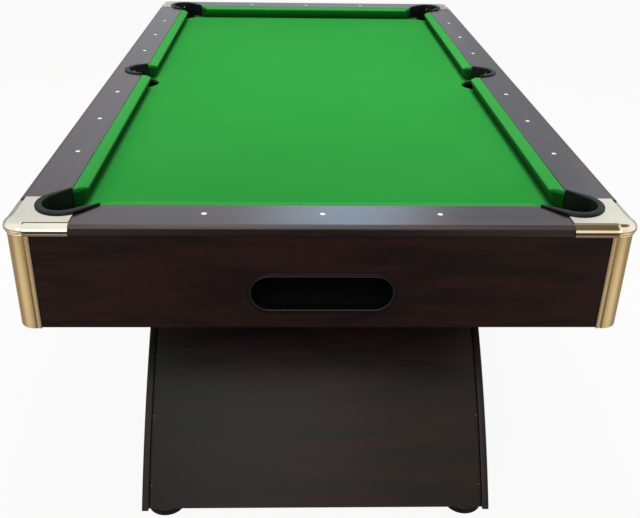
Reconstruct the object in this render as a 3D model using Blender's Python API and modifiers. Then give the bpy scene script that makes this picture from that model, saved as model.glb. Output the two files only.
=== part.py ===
"""Seven-foot billiard table with drop pockets, a gravity ball return and two arched pedestals.

Metres, +Z up. The floor is z = 0, the table's centre is x = y = 0, and the ball return faces -Y.
"""
import math

import bmesh
import bpy
from mathutils import Matrix, Vector

# Playing field and rails
PLAY_WIDTH = 0.970            # cushion nose to cushion nose, across
PLAY_LENGTH = 1.900           # cushion nose to cushion nose, along
RAIL_TOP = 0.800              # top of the rails over the floor
CLOTH_DROP = 0.042            # top of the rails down to the playing cloth
NOSE_HEIGHT = 0.035           # cushion nose over the cloth
CUSHION_DEPTH = 0.0275         # cushion nose to the rail's wooden edge
RAIL_WIDTH = 0.094            # wooden part of a rail
RAIL_ROUND = 0.012            # rounding of a rail's upper outer edge
RAIL_EASE = 0.003             # rounding of a rail's lower outer edge
RAIL_EDGE = 0.018             # height of a rail's outer edge, which laps over the apron
SIGHT_DIAMETER = 0.0095       # recesses for the round sights
SIGHT_DEPTH = 0.0012
SIGHT_INSET = 0.055           # sights from the rail's outer edge
SIGHT_PITCH = 0.230

# Bed
CLOTH_THICKNESS = 0.0012
BED_THICKNESS = 0.018

# Pockets
POCKET_RADIUS = 0.041         # inside of a liner
LINER_WALL = 0.0038
LINER_FLANGE = 0.0145         # width of the flange round the pocket's top
FLANGE_THICKNESS = 0.004
CORNER_POCKET_SET = -0.002    # corner pocket's centre outside the wooden edges' crossing, inside it if negative
SIDE_POCKET_SET = 0.006       # side pocket's centre outside the wooden edge
CORNER_SETBACK = 0.047        # cushion's back edge ends this far before the nose lines cross
CORNER_CUT = 40.0             # degrees, slant of a cushion's end at a corner pocket
SIDE_MOUTH = 0.112            # side pocket's mouth at the wooden edge
SIDE_CUT = 12.0               # degrees, slant of a cushion's end at a side pocket
WING_TIP = 0.0016             # thickness of a liner's wing at its tip
WING_FLANGE = 0.002           # flange beyond the wing at its tip
CUP_DEPTH = 0.065             # room for a ball between the bed and the cup's floor
CUP_FLOOR = 0.003
LIP_DROP = 0.006              # cup's rim below the bed's top at the pocket's mouth
SPOUT_WIDTH = 0.062           # inside
SPOUT_WALL = 0.003
SPOUT_HEIGHT = 0.030
SPOUT_REACH = 0.086           # from the pocket's centre

# Body
BODY_DEPTH = 0.2295           # top of the rails down to the bottom of the aprons
RAIL_OVERHANG = 0.004         # rails beyond the aprons
APRON_THICKNESS = 0.018
TRIM_PROUD = 0.003            # corner trims beyond the aprons
TRIM_SKIN = 0.0026
TRIM_RADIUS = 0.036
TRIM_REACH = 0.046            # trim along each apron
TRIM_LAP = 0.009              # trim's front skin over the apron's end
TRIM_LIP = 0.014              # trim's lip behind the apron

# Corner caps
CAP_LEG = 0.131               # cap along each rail, from the rails' outer corner
CAP_SKIN = 0.0022
CAP_PROUD = 0.004             # skirt beyond the rail
CAP_SKIRT = 0.0175            # skirt below the rail's top
CAP_RADIUS = 0.036            # plan rounding of the corner, at the rail's outer face
CAP_GROOVE = 0.0012           # radius of the grooves along the skirt
CAP_GROOVE_DROP = 0.0145      # lower groove below the rail's top

# Ball return
SLOT_WIDTH = 0.278            # inside of the bezel
SLOT_HEIGHT = 0.072
SLOT_DROP = 0.149             # slot's centre below the rail's top
BEZEL_FLANGE = 0.009
BEZEL_PROUD = 0.0035
BEZEL_WALL = 0.003
TRAY_LENGTH = 0.940
TRAY_DEPTH = 0.205
TRAY_WALL = 0.004
TRAY_SINK = 0.0060            # tray's floor below the slot's lower edge
TRAY_FALL = 0.008             # fall of the tray's floor from each end to its middle
TRAY_FLAT = 0.320             # level middle of the tray's floor
TRAY_RIM_GAP = 0.0025         # tray's rim below the spouts
GULLY_RADIUS = 0.034          # inside of the gully channels
GULLY_WALL = 0.003
GULLY_HEIGHT = 0.025
GULLY_SPACING = 0.840         # between the two gullies' centre lines
GULLY_START = 1.000           # back end, from the table's middle
GULLY_FALL = 0.024            # fall from the back end to the tray
GULLY_ROOM = 0.062            # height of a beam's window over the gully's floor

# Beams under the bed
BEAM_THICKNESS = 0.018
BEAM_NEAR = 0.125             # first beam out from the pedestal's inner top edge
BEAM_FAR = 0.046              # second beam in from the pedestal's outer top edge
BEAM_END = 0.800              # third beam from the table's middle
BEAM_CLEAR = 0.015            # beams' lower edge over the bottom of the aprons

# Pedestals
LEG_WIDTH = 0.816
LEG_BOARD = 0.016             # side panels
LEG_SKIN = 0.009              # curved outer and inner panels
LEG_INSET = 0.0045            # curved panels behind the side panels' edges
LEG_TOP_OUT = 0.411           # outer edge at the top, from the table's middle
LEG_FOOT_OUT = 1.030          # outer edge at the bottom
LEG_OUT_BULGE = 0.060
LEG_TOP_IN = 0.130
LEG_FOOT_IN = 0.875
LEG_IN_BULGE = 0.085
LEG_RAISE = 0.005             # curved panels over the side panels' lower edges
TOP_PLATE = 0.022
BASE_PLATE = 0.018

# Levelling feet
FOOT_HEIGHT = 0.033           # pedestal over the floor with the feet screwed in
FOOT_DIAMETER = 0.090
FOOT_RIM = 0.021              # height of the pad's rim
FOOT_HUB = 0.052
STEM_DIAMETER = 0.010
STEM_LENGTH = 0.036
STEM_CLEAR = 0.0005
FOOT_INSET = 0.050            # feet's centres inside the pedestal's sides
FOOT_SETBACK = 0.061          # feet behind the pedestal's lower outer edge

GAP = 0.0003                  # between pieces that touch
FIT = 0.0005                  # between boards that are slid together
LEG_FIT = 0.0015              # between a leg's level boards and its bent panels, along the board

# Places worked out from the driving dimensions
NOSE_X = PLAY_WIDTH / 2
NOSE_Y = PLAY_LENGTH / 2
EDGE_X = NOSE_X + CUSHION_DEPTH
EDGE_Y = NOSE_Y + CUSHION_DEPTH
OUT_X = EDGE_X + RAIL_WIDTH
OUT_Y = EDGE_Y + RAIL_WIDTH
CLOTH_TOP = RAIL_TOP - CLOTH_DROP
RAIL_BOTTOM = CLOTH_TOP + GAP
BED_TOP = CLOTH_TOP - CLOTH_THICKNESS - GAP
BED_BOTTOM = BED_TOP - BED_THICKNESS
APRON_X = OUT_X - RAIL_OVERHANG
APRON_Y = OUT_Y - RAIL_OVERHANG
APRON_BOTTOM = RAIL_TOP - BODY_DEPTH
RAIL_LIP = RAIL_TOP - RAIL_EDGE
APRON_TOP = RAIL_LIP - GAP
INSIDE_X = APRON_X - APRON_THICKNESS
INSIDE_Y = APRON_Y - APRON_THICKNESS
POCKET_CUT = POCKET_RADIUS + LINER_WALL + 2 * FIT
CAP_TOP = RAIL_TOP + GAP + CAP_SKIN
CUP_BASE = BED_BOTTOM - CUP_DEPTH
SPOUT_BASE = CUP_BASE - CUP_FLOOR
SLOT_Z = RAIL_TOP - SLOT_DROP
BEAM_BOTTOM = APRON_BOTTOM + BEAM_CLEAR
LEG_TOP = BEAM_BOTTOM - GAP
LEG_INSIDE = LEG_WIDTH / 2 - LEG_BOARD

# Each corner's name, signs of x and y, and turn of its own frame, whose axes point into the table
CORNERS = (("front_left", -1, -1, 0), ("front_right", 1, -1, 90),
           ("rear_right", 1, 1, 180), ("rear_left", -1, 1, 270))
SIDES = (("left", -1), ("right", 1))
ENDS = (("front", -1), ("rear", 1))
ARC_STEPS = 10


def empty_collection(name):
    """A new collection in the scene."""
    collection = bpy.data.collections.new(name)
    bpy.context.scene.collection.children.link(collection)
    return collection


def principled(name, colour, roughness, metallic=0.0):
    """A plain material with one colour, roughness and metallic value."""
    material = bpy.data.materials.new(name)
    material.use_nodes = True
    shader = material.node_tree.nodes["Principled BSDF"]
    shader.inputs["Base Color"].default_value = (*colour, 1.0)
    shader.inputs["Roughness"].default_value = roughness
    shader.inputs["Metallic"].default_value = metallic
    return material


for old in list(bpy.data.objects):
    bpy.data.objects.remove(old)
PARTS = empty_collection("billiard_table")
CUTTERS = empty_collection("cutters")
MAHOGANY = principled("mahogany_laminate", (0.075, 0.030, 0.026), 0.30)
DARK_BOARD = principled("dark_leg_laminate", (0.040, 0.024, 0.022), 0.38)
RAW_BOARD = principled("raw_fibreboard", (0.42, 0.30, 0.19), 0.85)
GREEN_CLOTH = principled("green_cloth", (0.020, 0.300, 0.040), 0.95)
GOLD_CAST = principled("polished_pale_gold", (0.86, 0.78, 0.60), 0.18, 1.0)
GOLD_TRIM = principled("satin_gold", (0.66, 0.52, 0.28), 0.32, 1.0)
BLACK_PLASTIC = principled("black_plastic", (0.012, 0.012, 0.014), 0.40)
GREY_PLASTIC = principled("grey_plastic", (0.20, 0.20, 0.21), 0.55)
ROOT = bpy.data.objects.new("table_centre", None)
PARTS.objects.link(ROOT)


def arc(centre, radius, start, end, steps):
    """Points on an arc, with angles in radians, both ends included."""
    angles = [start + (end - start) * k / steps for k in range(steps + 1)]
    return [(centre[0] + radius * math.cos(a), centre[1] + radius * math.sin(a)) for a in angles]


def axes(origin, along_x, along_y):
    """Frame with its local X and Y along two unit directions."""
    u = Vector(along_x)
    v = Vector(along_y)
    return Matrix.Translation(origin) @ Matrix((u, v, u.cross(v))).transposed().to_4x4()


def polyline(curve, points, closed):
    """Adds one straight-edged spline to a curve."""
    spline = curve.splines.new('POLY')
    spline.points.add(len(points) - 1)
    for target, point in zip(spline.points, points):
        target.co = (*point, *([0.0] * (3 - len(point))), 1.0)
    spline.use_cyclic_u = closed


def to_mesh(curve_object):
    """Replaces a curve object by a mesh object with its caps welded on."""
    graph = bpy.context.evaluated_depsgraph_get()
    mesh = bpy.data.meshes.new_from_object(curve_object.evaluated_get(graph))
    name = curve_object.name
    matrix = curve_object.matrix_world.copy()
    bpy.data.objects.remove(curve_object)
    work = bmesh.new()
    work.from_mesh(mesh)
    bmesh.ops.remove_doubles(work, verts=work.verts, dist=1e-6)
    bmesh.ops.recalc_face_normals(work, faces=work.faces)
    work.to_mesh(mesh)
    work.free()
    solid = bpy.data.objects.new(name, mesh)
    PARTS.objects.link(solid)
    solid.matrix_world = matrix
    return solid


def prism(name, outline, depth, frame=Matrix(), holes=()):
    """A flat outline in a frame's XY plane, thickened by depth about that plane."""
    curve = bpy.data.curves.new(name, 'CURVE')
    curve.dimensions = '2D'
    curve.fill_mode = 'BOTH'
    curve.extrude = depth / 2
    for points in (outline, *holes):
        polyline(curve, points, True)
    flat = bpy.data.objects.new(name, curve)
    PARTS.objects.link(flat)
    flat.matrix_world = frame
    bpy.context.view_layer.update()
    return to_mesh(flat)


def slab(name, low, high):
    """A board from its lowest to its highest corner."""
    centre = (Vector(low) + Vector(high)) / 2
    size = Vector(high) - Vector(low)
    mesh = bpy.data.meshes.new(name)
    work = bmesh.new()
    bmesh.ops.create_cube(work, size=1.0, matrix=Matrix.Diagonal((*size, 1.0)))
    work.to_mesh(mesh)
    work.free()
    board = bpy.data.objects.new(name, mesh)
    PARTS.objects.link(board)
    board.location = centre
    return board


def rod(name, radius, start, end, sides):
    """A straight round bar between two points."""
    line = Vector(end) - Vector(start)
    mesh = bpy.data.meshes.new(name)
    work = bmesh.new()
    bmesh.ops.create_cone(work, cap_ends=True, segments=sides, radius1=radius, radius2=radius,
                          depth=line.length)
    work.to_mesh(mesh)
    work.free()
    bar = bpy.data.objects.new(name, mesh)
    PARTS.objects.link(bar)
    turn = Vector((0, 0, 1)).rotation_difference(line).to_matrix().to_4x4()
    bar.matrix_world = Matrix.Translation((Vector(start) + Vector(end)) / 2) @ turn
    return bar


def combine(target, tool, operation):
    """Cuts a tool from a target, or joins it on, and puts the tool with the cutters."""
    if tool.name not in CUTTERS.objects:
        CUTTERS.objects.link(tool)
        PARTS.objects.unlink(tool)
    tool.hide_render = True
    tool.display_type = 'WIRE'
    change = target.modifiers.new(tool.name, 'BOOLEAN')
    change.operation = operation
    change.solver = 'EXACT'
    change.object = tool


def cut(target, *tools):
    for tool in tools:
        combine(target, tool, 'DIFFERENCE')


def join(target, *tools):
    for tool in tools:
        combine(target, tool, 'UNION')


def finished(model):
    """The evaluated mesh of a pattern piece, which is removed with its tools."""
    bpy.context.view_layer.update()
    graph = bpy.context.evaluated_depsgraph_get()
    mesh = bpy.data.meshes.new_from_object(model.evaluated_get(graph))
    mesh.transform(model.matrix_world)
    tools = [change.object for change in model.modifiers if change.type == 'BOOLEAN']
    for done in (model, *tools):
        bpy.data.objects.remove(done)
    return mesh


def copy_of(name, mesh, frame):
    """One copy of a repeated piece, in its own frame."""
    piece = bpy.data.objects.new(name, mesh)
    PARTS.objects.link(piece)
    piece.matrix_world = frame
    return piece


def finish(piece, material):
    """Gives a piece its material, smooth round faces and its place under the table's centre."""
    piece.data.materials.clear()
    piece.data.materials.append(material)
    piece.data.shade_smooth()
    piece.data.set_sharp_from_angle(angle=math.radians(32))
    piece.parent = ROOT
    return piece


def corner_frame(sign_x, sign_y, turn, x=OUT_X, y=OUT_Y, z=0.0):
    """Frame at a corner, with X and Y pointing along the two sides into the table."""
    return Matrix.Translation((sign_x * x, sign_y * y, z)) @ Matrix.Rotation(math.radians(turn), 4, 'Z')


def horseshoe(radius, tip, extend=0.0):
    """Outline of a round pocket with its mouth towards -X.

    Lines run from the two tips, at tip[0] and plus or minus tip[1], to where they touch the circle.
    """
    distance = math.hypot(*tip)
    reach = math.atan2(tip[1], tip[0]) - math.acos(min(1.0, radius / distance))
    points = arc((0, 0), radius, -reach, reach, 2 * ARC_STEPS)
    points += [(tip[0], tip[1])]
    if extend:
        points += [(tip[0] - extend, tip[1]), (tip[0] - extend, -tip[1])]
    return points + [(tip[0], -tip[1])]


# Mouth tips of the two kinds of pocket, seen from the pocket's centre with X pointing outwards
CORNER_FROM_EDGE = NOSE_X - CORNER_SETBACK - EDGE_X - CORNER_POCKET_SET
CORNER_TIP = ((CORNER_FROM_EDGE - CORNER_POCKET_SET) / math.sqrt(2),
              (-CORNER_FROM_EDGE - CORNER_POCKET_SET) / math.sqrt(2))
SIDE_TIP = (-SIDE_POCKET_SET, SIDE_MOUTH / 2)
POCKETS = []
for corner, sx, sy, turn in CORNERS:
    at_pocket = corner_frame(sx, sy, turn, EDGE_X + CORNER_POCKET_SET, EDGE_Y + CORNER_POCKET_SET)
    POCKETS.append((corner, at_pocket @ Matrix.Rotation(math.radians(225), 4, 'Z'), CORNER_TIP))
for side, sx in SIDES:
    at_pocket = Matrix.Translation((sx * (EDGE_X + SIDE_POCKET_SET), 0, 0))
    POCKETS.append((side, at_pocket @ Matrix.Rotation(0 if sx > 0 else math.pi, 4, 'Z'), SIDE_TIP))

THROATS = {}
DROPS = {}
THROAT_TALL = 0.1
for pocket, frame, tip in POCKETS:
    lift = Matrix.Translation((0, 0, CLOTH_TOP + GAP / 2 + THROAT_TALL / 2))
    THROATS[pocket] = prism("throat_" + pocket, horseshoe(POCKET_CUT, tip, CUSHION_DEPTH), THROAT_TALL,
                            frame @ lift)
    foot = frame @ Vector((0, 0, CUP_BASE))
    head = frame @ Vector((0, 0, RAIL_TOP))
    DROPS[pocket] = rod("drop_" + pocket, POCKET_CUT, foot, head, 2 * ARC_STEPS + 4)

# Bed board and the cloth stretched over it, slanted at the trims, with a round hole at each pocket
def bed_outline():
    """The inside of the aprons, cut off slantwise at each corner trim."""
    wide = INSIDE_X - FIT
    long = INSIDE_Y - FIT
    slant = TRIM_REACH - TRIM_LAP + TRIM_LIP + TRIM_SKIN + 2 * FIT
    quarter = [(wide, APRON_Y - slant), (APRON_X - slant, long)]
    across = [(-x, y) for x, y in reversed(quarter)]
    return quarter + across + [(-x, -y) for x, y in quarter + across]


BED_LAYERS = (("bed", BED_BOTTOM, BED_TOP, RAW_BOARD), ("bed_cloth", BED_TOP + GAP, CLOTH_TOP, GREEN_CLOTH))
for name, low, high, material in BED_LAYERS:
    layer = prism(name, bed_outline(), high - low, Matrix.Translation((0, 0, (low + high) / 2)))
    cut(layer, *DROPS.values())
    finish(layer, material)


# Rails: one section, mitred under the caps, with the pockets and sight recesses cut in
def rail_section():
    """Outline across a rail: X outwards from the wooden edge, Y up, with a rebate for the apron."""
    top = (RAIL_WIDTH - RAIL_ROUND, RAIL_TOP - RAIL_ROUND)
    low = (RAIL_WIDTH - RAIL_EASE, RAIL_LIP + RAIL_EASE)
    rebate = RAIL_WIDTH - RAIL_OVERHANG - APRON_THICKNESS - TRIM_SKIN - 2 * FIT
    return ([(0, RAIL_BOTTOM), (rebate, RAIL_BOTTOM), (rebate, RAIL_LIP)] + arc(low, RAIL_EASE, -math.pi / 2, 0, 2)
            + arc(top, RAIL_ROUND, 0, math.pi / 2, 6) + [(0, RAIL_TOP)])


def slice_off(piece, point, normal):
    """Takes off what lies beyond a plane, in the piece's own frame, and closes the cut."""
    work = bmesh.new()
    work.from_mesh(piece.data)
    everything = work.verts[:] + work.edges[:] + work.faces[:]
    done = bmesh.ops.bisect_plane(work, geom=everything, plane_co=point, plane_no=normal, clear_outer=True)
    rim = [item for item in done["geom_cut"] if isinstance(item, bmesh.types.BMEdge)]
    bmesh.ops.contextual_create(work, geom=rim)
    bmesh.ops.recalc_face_normals(work, faces=work.faces)
    work.to_mesh(piece.data)
    work.free()


def rail(name, half_edge, frame, pockets, sight_places):
    """A rail along its frame's Z, mitred at both ends and stopped short of the rounded corner."""
    stop = RAIL_WIDTH - CAP_RADIUS
    board = prism(name, rail_section(), 2 * (half_edge + stop), frame)
    for way in (-1, 1):
        slice_off(board, (0, 0, way * (half_edge - FIT)), (-1, 0, way))
    cut(board, *(THROATS[pocket] for pocket in pockets))
    for number, place in enumerate(sight_places):
        floor_of_hole = frame @ Vector((RAIL_WIDTH - SIGHT_INSET, RAIL_TOP - SIGHT_DEPTH, place))
        above = frame @ Vector((RAIL_WIDTH - SIGHT_INSET, RAIL_TOP + SIGHT_DEPTH, place))
        cut(board, rod(f"sight_{name}_{number}", SIGHT_DIAMETER / 2, floor_of_hole, above, ARC_STEPS + 2))
    return finish(board, MAHOGANY)


END_SIGHTS = [k * SIGHT_PITCH for k in (-1, 0, 1)]
SIDE_SIGHTS = [k * SIGHT_PITCH for k in (-3, -2, -1, 1, 2, 3)]
for end, sy in ENDS:
    frame = axes((0, sy * EDGE_Y, 0), (0, sy, 0), (0, 0, 1))
    rail(end + "_rail", EDGE_X, frame, (end + "_left", end + "_right"), END_SIGHTS)
for side, sx in SIDES:
    frame = axes((sx * EDGE_X, 0, 0), (sx, 0, 0), (0, 0, 1))
    rail(side + "_rail", EDGE_Y, frame, ("front_" + side, side, "rear_" + side), SIDE_SIGHTS)


# Cushions: rubber strips with a raised nose, slanted at the pockets
def cushion_section():
    """Outline across a cushion: X inwards from the wooden edge, Y up."""
    nose = CLOTH_TOP + NOSE_HEIGHT
    foot = CUSHION_DEPTH * 0.56
    nose_radius = CUSHION_DEPTH * 0.07
    crown = RAIL_TOP - 2 * GAP
    shoulder = (CUSHION_DEPTH * 0.62, (crown * 2 + nose) / 3)
    nose_arc = arc((CUSHION_DEPTH - nose_radius, nose), nose_radius, -math.pi / 3, math.pi / 3, 4)
    return [(GAP, CLOTH_TOP + GAP), (foot, CLOTH_TOP + GAP)] + nose_arc + [shoulder, (GAP, crown)]


def cushion(name, low_end, high_end, low_slant, high_slant, frame):
    """A cushion along its frame's Z between two ends of its back edge, each slanted towards its nose."""
    strip = prism(name, cushion_section(), 2.0, frame)
    for vertex in strip.data.vertices:
        if vertex.co.z > 0:
            vertex.co.z = high_end - vertex.co.x * math.tan(math.radians(high_slant))
        else:
            vertex.co.z = low_end + vertex.co.x * math.tan(math.radians(low_slant))
    return finish(strip, GREEN_CLOTH)


for end, sy in ENDS:
    frame = axes((0, sy * EDGE_Y, 0), (0, -sy, 0), (0, 0, 1))
    back = NOSE_X - CORNER_SETBACK
    cushion(end + "_cushion", -back, back, CORNER_CUT, CORNER_CUT, frame)
for side, sx in SIDES:
    frame = axes((sx * EDGE_X, 0, 0), (-sx, 0, 0), (0, 0, 1))
    forward = frame.to_3x3() @ Vector((0, 0, 1))
    corner_end = NOSE_Y - CORNER_SETBACK
    side_end = SIDE_MOUTH / 2 + GAP
    for end, sy in ENDS:
        name = f"{side}_{end}_cushion"
        if forward.y * sy > 0:
            cushion(name, side_end, corner_end, SIDE_CUT, CORNER_CUT, frame)
        else:
            cushion(name, -corner_end, -side_end, CORNER_CUT, SIDE_CUT, frame)


# Pocket liners: a flange on the rail, a wall down the cut, and a cup with a spout under the bed
def pocket_liner(name, tip, seat):
    """One liner about its pocket's axis, with its flange on the height of its seat."""
    wall = POCKET_RADIUS + LINER_WALL
    wing = (tip[0] + 2 * FIT, tip[1] - 2 * FIT)
    inner_wing = (wing[0], wing[1] - WING_TIP)
    flange_wing = (wing[0], wing[1] + WING_FLANGE)
    low = CLOTH_TOP + GAP
    high = seat + FLANGE_THICKNESS
    liner = prism(name, horseshoe(POCKET_RADIUS + LINER_FLANGE, flange_wing), FLANGE_THICKNESS,
                  Matrix.Translation((0, 0, (seat + high) / 2)))
    sleeve = prism("sleeve", horseshoe(wall, wing), seat + GAP - low,
                   Matrix.Translation((0, 0, (seat + GAP + low) / 2)))
    cup = rod("cup", wall - GAP, (0, 0, SPOUT_BASE), (0, 0, low + GAP), 2 * ARC_STEPS + 4)
    cut(cup, slab("lip", (-2 * wall, -2 * wall, BED_TOP - LIP_DROP), (0, 2 * wall, RAIL_TOP)))
    cup = copy_of("cup", finished(cup), Matrix())
    half = SPOUT_WIDTH / 2
    spout = slab("spout", (-SPOUT_REACH, -half - SPOUT_WALL, SPOUT_BASE),
                 (0, half + SPOUT_WALL, SPOUT_BASE + SPOUT_HEIGHT))
    join(liner, sleeve, cup, spout)
    mouth = prism("mouth", horseshoe(POCKET_RADIUS, inner_wing, CUSHION_DEPTH), THROAT_TALL,
                  Matrix.Translation((0, 0, low - GAP + THROAT_TALL / 2)))
    well = rod("well", POCKET_RADIUS - GAP, (0, 0, CUP_BASE), (0, 0, high), 2 * ARC_STEPS + 4)
    outlet = slab("outlet", (-2 * SPOUT_REACH, -half, CUP_BASE + GAP),
                  (-POCKET_RADIUS / 2, half, BED_BOTTOM - CUP_FLOOR))
    cut(liner, mouth, well, outlet)
    return finished(liner)


CORNER_LINER = pocket_liner("corner_liner", CORNER_TIP, CAP_TOP + GAP)
SIDE_LINER = pocket_liner("side_liner", SIDE_TIP, RAIL_TOP + GAP)
for pocket, frame, tip in POCKETS:
    mesh = CORNER_LINER if tip is CORNER_TIP else SIDE_LINER
    finish(copy_of("pocket_liner_" + pocket, mesh, frame), BLACK_PLASTIC)


# Corner caps: cast plates over the mitred rails, with a grooved skirt round the corner
def skirt_section():
    """Outline across a cap's skirt: X outwards from the rail's outer face, Y up."""
    inner = arc((-RAIL_ROUND, RAIL_TOP - RAIL_ROUND), RAIL_ROUND + GAP, math.pi / 2, 0, 6)
    outer_round = RAIL_ROUND + CAP_PROUD
    rise = (CAP_TOP - RAIL_TOP + RAIL_ROUND) / outer_round
    outer = [(x, RAIL_TOP - RAIL_ROUND + (y - RAIL_TOP + RAIL_ROUND) * rise)
             for x, y in arc((-RAIL_ROUND, RAIL_TOP - RAIL_ROUND), outer_round, 0, math.pi / 2, 8)]
    bottom = RAIL_TOP - CAP_SKIRT
    return inner + [(GAP, bottom), (CAP_PROUD, bottom)] + outer


def corner_cap():
    """The cap at a corner's own frame, whose origin is the crossing of the rails' outer faces."""
    inset = RAIL_ROUND - GAP
    turn_radius = CAP_RADIUS - inset
    corner = (CAP_RADIUS, CAP_RADIUS)
    plate_z = Matrix.Translation((0, 0, CAP_TOP - CAP_SKIN / 2))
    outline = arc(corner, turn_radius, math.pi, 1.5 * math.pi, 8)
    outline += [(CAP_LEG, inset), (CAP_LEG, CAP_LEG), (inset, CAP_LEG)]
    cap = prism("cap", outline, CAP_SKIN, plate_z)
    section = bpy.data.curves.new("skirt_section", 'CURVE')
    section.dimensions = '2D'
    section.fill_mode = 'NONE'
    polyline(section, skirt_section(), True)
    profile = bpy.data.objects.new("skirt_section", section)
    PARTS.objects.link(profile)
    path = bpy.data.curves.new("skirt", 'CURVE')
    path.dimensions = '3D'
    path.twist_mode = 'Z_UP'
    path.bevel_mode = 'OBJECT'
    path.bevel_object = profile
    path.use_fill_caps = True
    bend = arc(corner, CAP_RADIUS, math.pi, 1.5 * math.pi, 8)
    polyline(path, [(0, CAP_LEG)] + bend + [(CAP_LEG, 0)], False)
    skirt = bpy.data.objects.new("skirt", path)
    PARTS.objects.link(skirt)
    bpy.context.view_layer.update()
    skirt = to_mesh(skirt)
    bpy.data.objects.remove(profile)
    join(cap, skirt)
    grooves = []
    start = CAP_RADIUS + CAP_PROUD
    beyond = CAP_LEG + CAP_PROUD
    for inwards, height in ((-CAP_PROUD, RAIL_TOP - CAP_GROOVE_DROP), (RAIL_ROUND, CAP_TOP)):
        grooves.append(rod("groove", CAP_GROOVE, (start, inwards, height), (beyond, inwards, height), 8))
        grooves.append(rod("groove", CAP_GROOVE, (inwards, start, height), (inwards, beyond, height), 8))
    from_corner = RAIL_WIDTH - CORNER_POCKET_SET
    at_pocket = Matrix.Translation((from_corner, from_corner, RAIL_TOP))
    pocket = prism("cap_throat", horseshoe(POCKET_CUT, CORNER_TIP, CAP_LEG), THROAT_TALL,
                   at_pocket @ Matrix.Rotation(math.radians(225), 4, 'Z'))
    cut(cap, pocket, *grooves)
    return finished(cap)


CAP_MESH = corner_cap()
for corner, sx, sy, turn in CORNERS:
    finish(copy_of("corner_cap_" + corner, CAP_MESH, corner_frame(sx, sy, turn)), GOLD_CAST)


# Corner trims: extruded gold corners with a slot for each apron's end
def trim_outline():
    """Plan of a trim from the crossing of the aprons' outer faces, X and Y into the table."""
    web = TRIM_REACH - TRIM_LAP
    back = APRON_THICKNESS + GAP
    bend = (TRIM_RADIUS - TRIM_PROUD, TRIM_RADIUS - TRIM_PROUD)
    outer = arc(bend, TRIM_RADIUS, 1.25 * math.pi, 1.5 * math.pi, 5)
    inner = arc(bend, TRIM_RADIUS - TRIM_SKIN, 1.5 * math.pi, 1.25 * math.pi, 5)
    half = outer + [(TRIM_REACH, -TRIM_PROUD), (TRIM_REACH, -GAP), (web, -GAP), (web, back),
                    (web + TRIM_LIP, back), (web + TRIM_LIP, back + TRIM_SKIN),
                    (web - TRIM_SKIN, back + TRIM_SKIN), (web - TRIM_SKIN, TRIM_SKIN - TRIM_PROUD)]
    half += inner
    other = [(y, x) for x, y in reversed(half)]
    return half[:-1] + other[:-1]


TRIM_HEIGHT = APRON_TOP - APRON_BOTTOM
TRIM_MESH = prism("trim", trim_outline(), TRIM_HEIGHT).data
bpy.data.objects.remove(bpy.data.objects["trim"])
for corner, sx, sy, turn in CORNERS:
    frame = corner_frame(sx, sy, turn, APRON_X, APRON_Y, (APRON_TOP + APRON_BOTTOM) / 2)
    finish(copy_of("corner_trim_" + corner, TRIM_MESH, frame), GOLD_TRIM)


# Aprons: boards whose ends sit in the trims' slots, the front one with the ball return's slot
def obround(width, height):
    """A slot with round ends, centred on the origin."""
    radius = height / 2
    straight = width / 2 - radius
    return (arc((straight, 0), radius, -math.pi / 2, math.pi / 2, ARC_STEPS)
            + arc((-straight, 0), radius, math.pi / 2, 1.5 * math.pi, ARC_STEPS))


APRON_ENDS = TRIM_REACH - TRIM_LAP + GAP
for end, sy in ENDS:
    faces = sorted((sy * APRON_Y, sy * INSIDE_Y))
    board = slab(end + "_apron", (-APRON_X + APRON_ENDS, faces[0], APRON_BOTTOM),
                 (APRON_X - APRON_ENDS, faces[1], APRON_TOP))
    finish(board, MAHOGANY)
for side, sx in SIDES:
    faces = sorted((sx * APRON_X, sx * INSIDE_X))
    board = slab(side + "_apron", (faces[0], -APRON_Y + APRON_ENDS, APRON_BOTTOM),
                 (faces[1], APRON_Y - APRON_ENDS, APRON_TOP))
    finish(board, MAHOGANY)

SLEEVE_SIZE = (SLOT_WIDTH + 2 * BEZEL_WALL, SLOT_HEIGHT + 2 * BEZEL_WALL)
SLOT_FRAME = axes((0, -APRON_Y, SLOT_Z), (1, 0, 0), (0, 0, 1))
slot_hole = prism("slot_hole", obround(SLEEVE_SIZE[0] + 2 * FIT, SLEEVE_SIZE[1] + 2 * FIT),
                  4 * APRON_THICKNESS, SLOT_FRAME)
cut(bpy.data.objects["front_apron"], slot_hole)

# Bezel: a flange on the apron's face with a sleeve through the board
bezel = prism("return_bezel", obround(SLOT_WIDTH + 2 * BEZEL_FLANGE, SLOT_HEIGHT + 2 * BEZEL_FLANGE), BEZEL_PROUD,
              SLOT_FRAME @ Matrix.Translation((0, 0, GAP + BEZEL_PROUD / 2)))
sleeve_deep = APRON_THICKNESS + BEZEL_PROUD / 2
bezel_sleeve = prism("bezel_sleeve", obround(*SLEEVE_SIZE), sleeve_deep,
                     SLOT_FRAME @ Matrix.Translation((0, 0, BEZEL_PROUD / 2 - sleeve_deep / 2)))
join(bezel, bezel_sleeve)
cut(bezel, prism("bezel_opening", obround(SLOT_WIDTH, SLOT_HEIGHT), 4 * APRON_THICKNESS, SLOT_FRAME))
finish(bezel, BLACK_PLASTIC)

# Gullies: sloping channels from the back pockets to the ball tray
TRAY_FRONT = -INSIDE_Y + GAP
TRAY_BACK = TRAY_FRONT + TRAY_DEPTH
GULLY_END = TRAY_BACK - 2 * TRAY_WALL
GULLY_TOP = SPOUT_BASE - FIT - GULLY_HEIGHT


def gully_floor(y):
    """Height of the gullies' floor at a place along the table."""
    return GULLY_TOP - (GULLY_START - y) / (GULLY_START - GULLY_END) * GULLY_FALL


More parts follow.
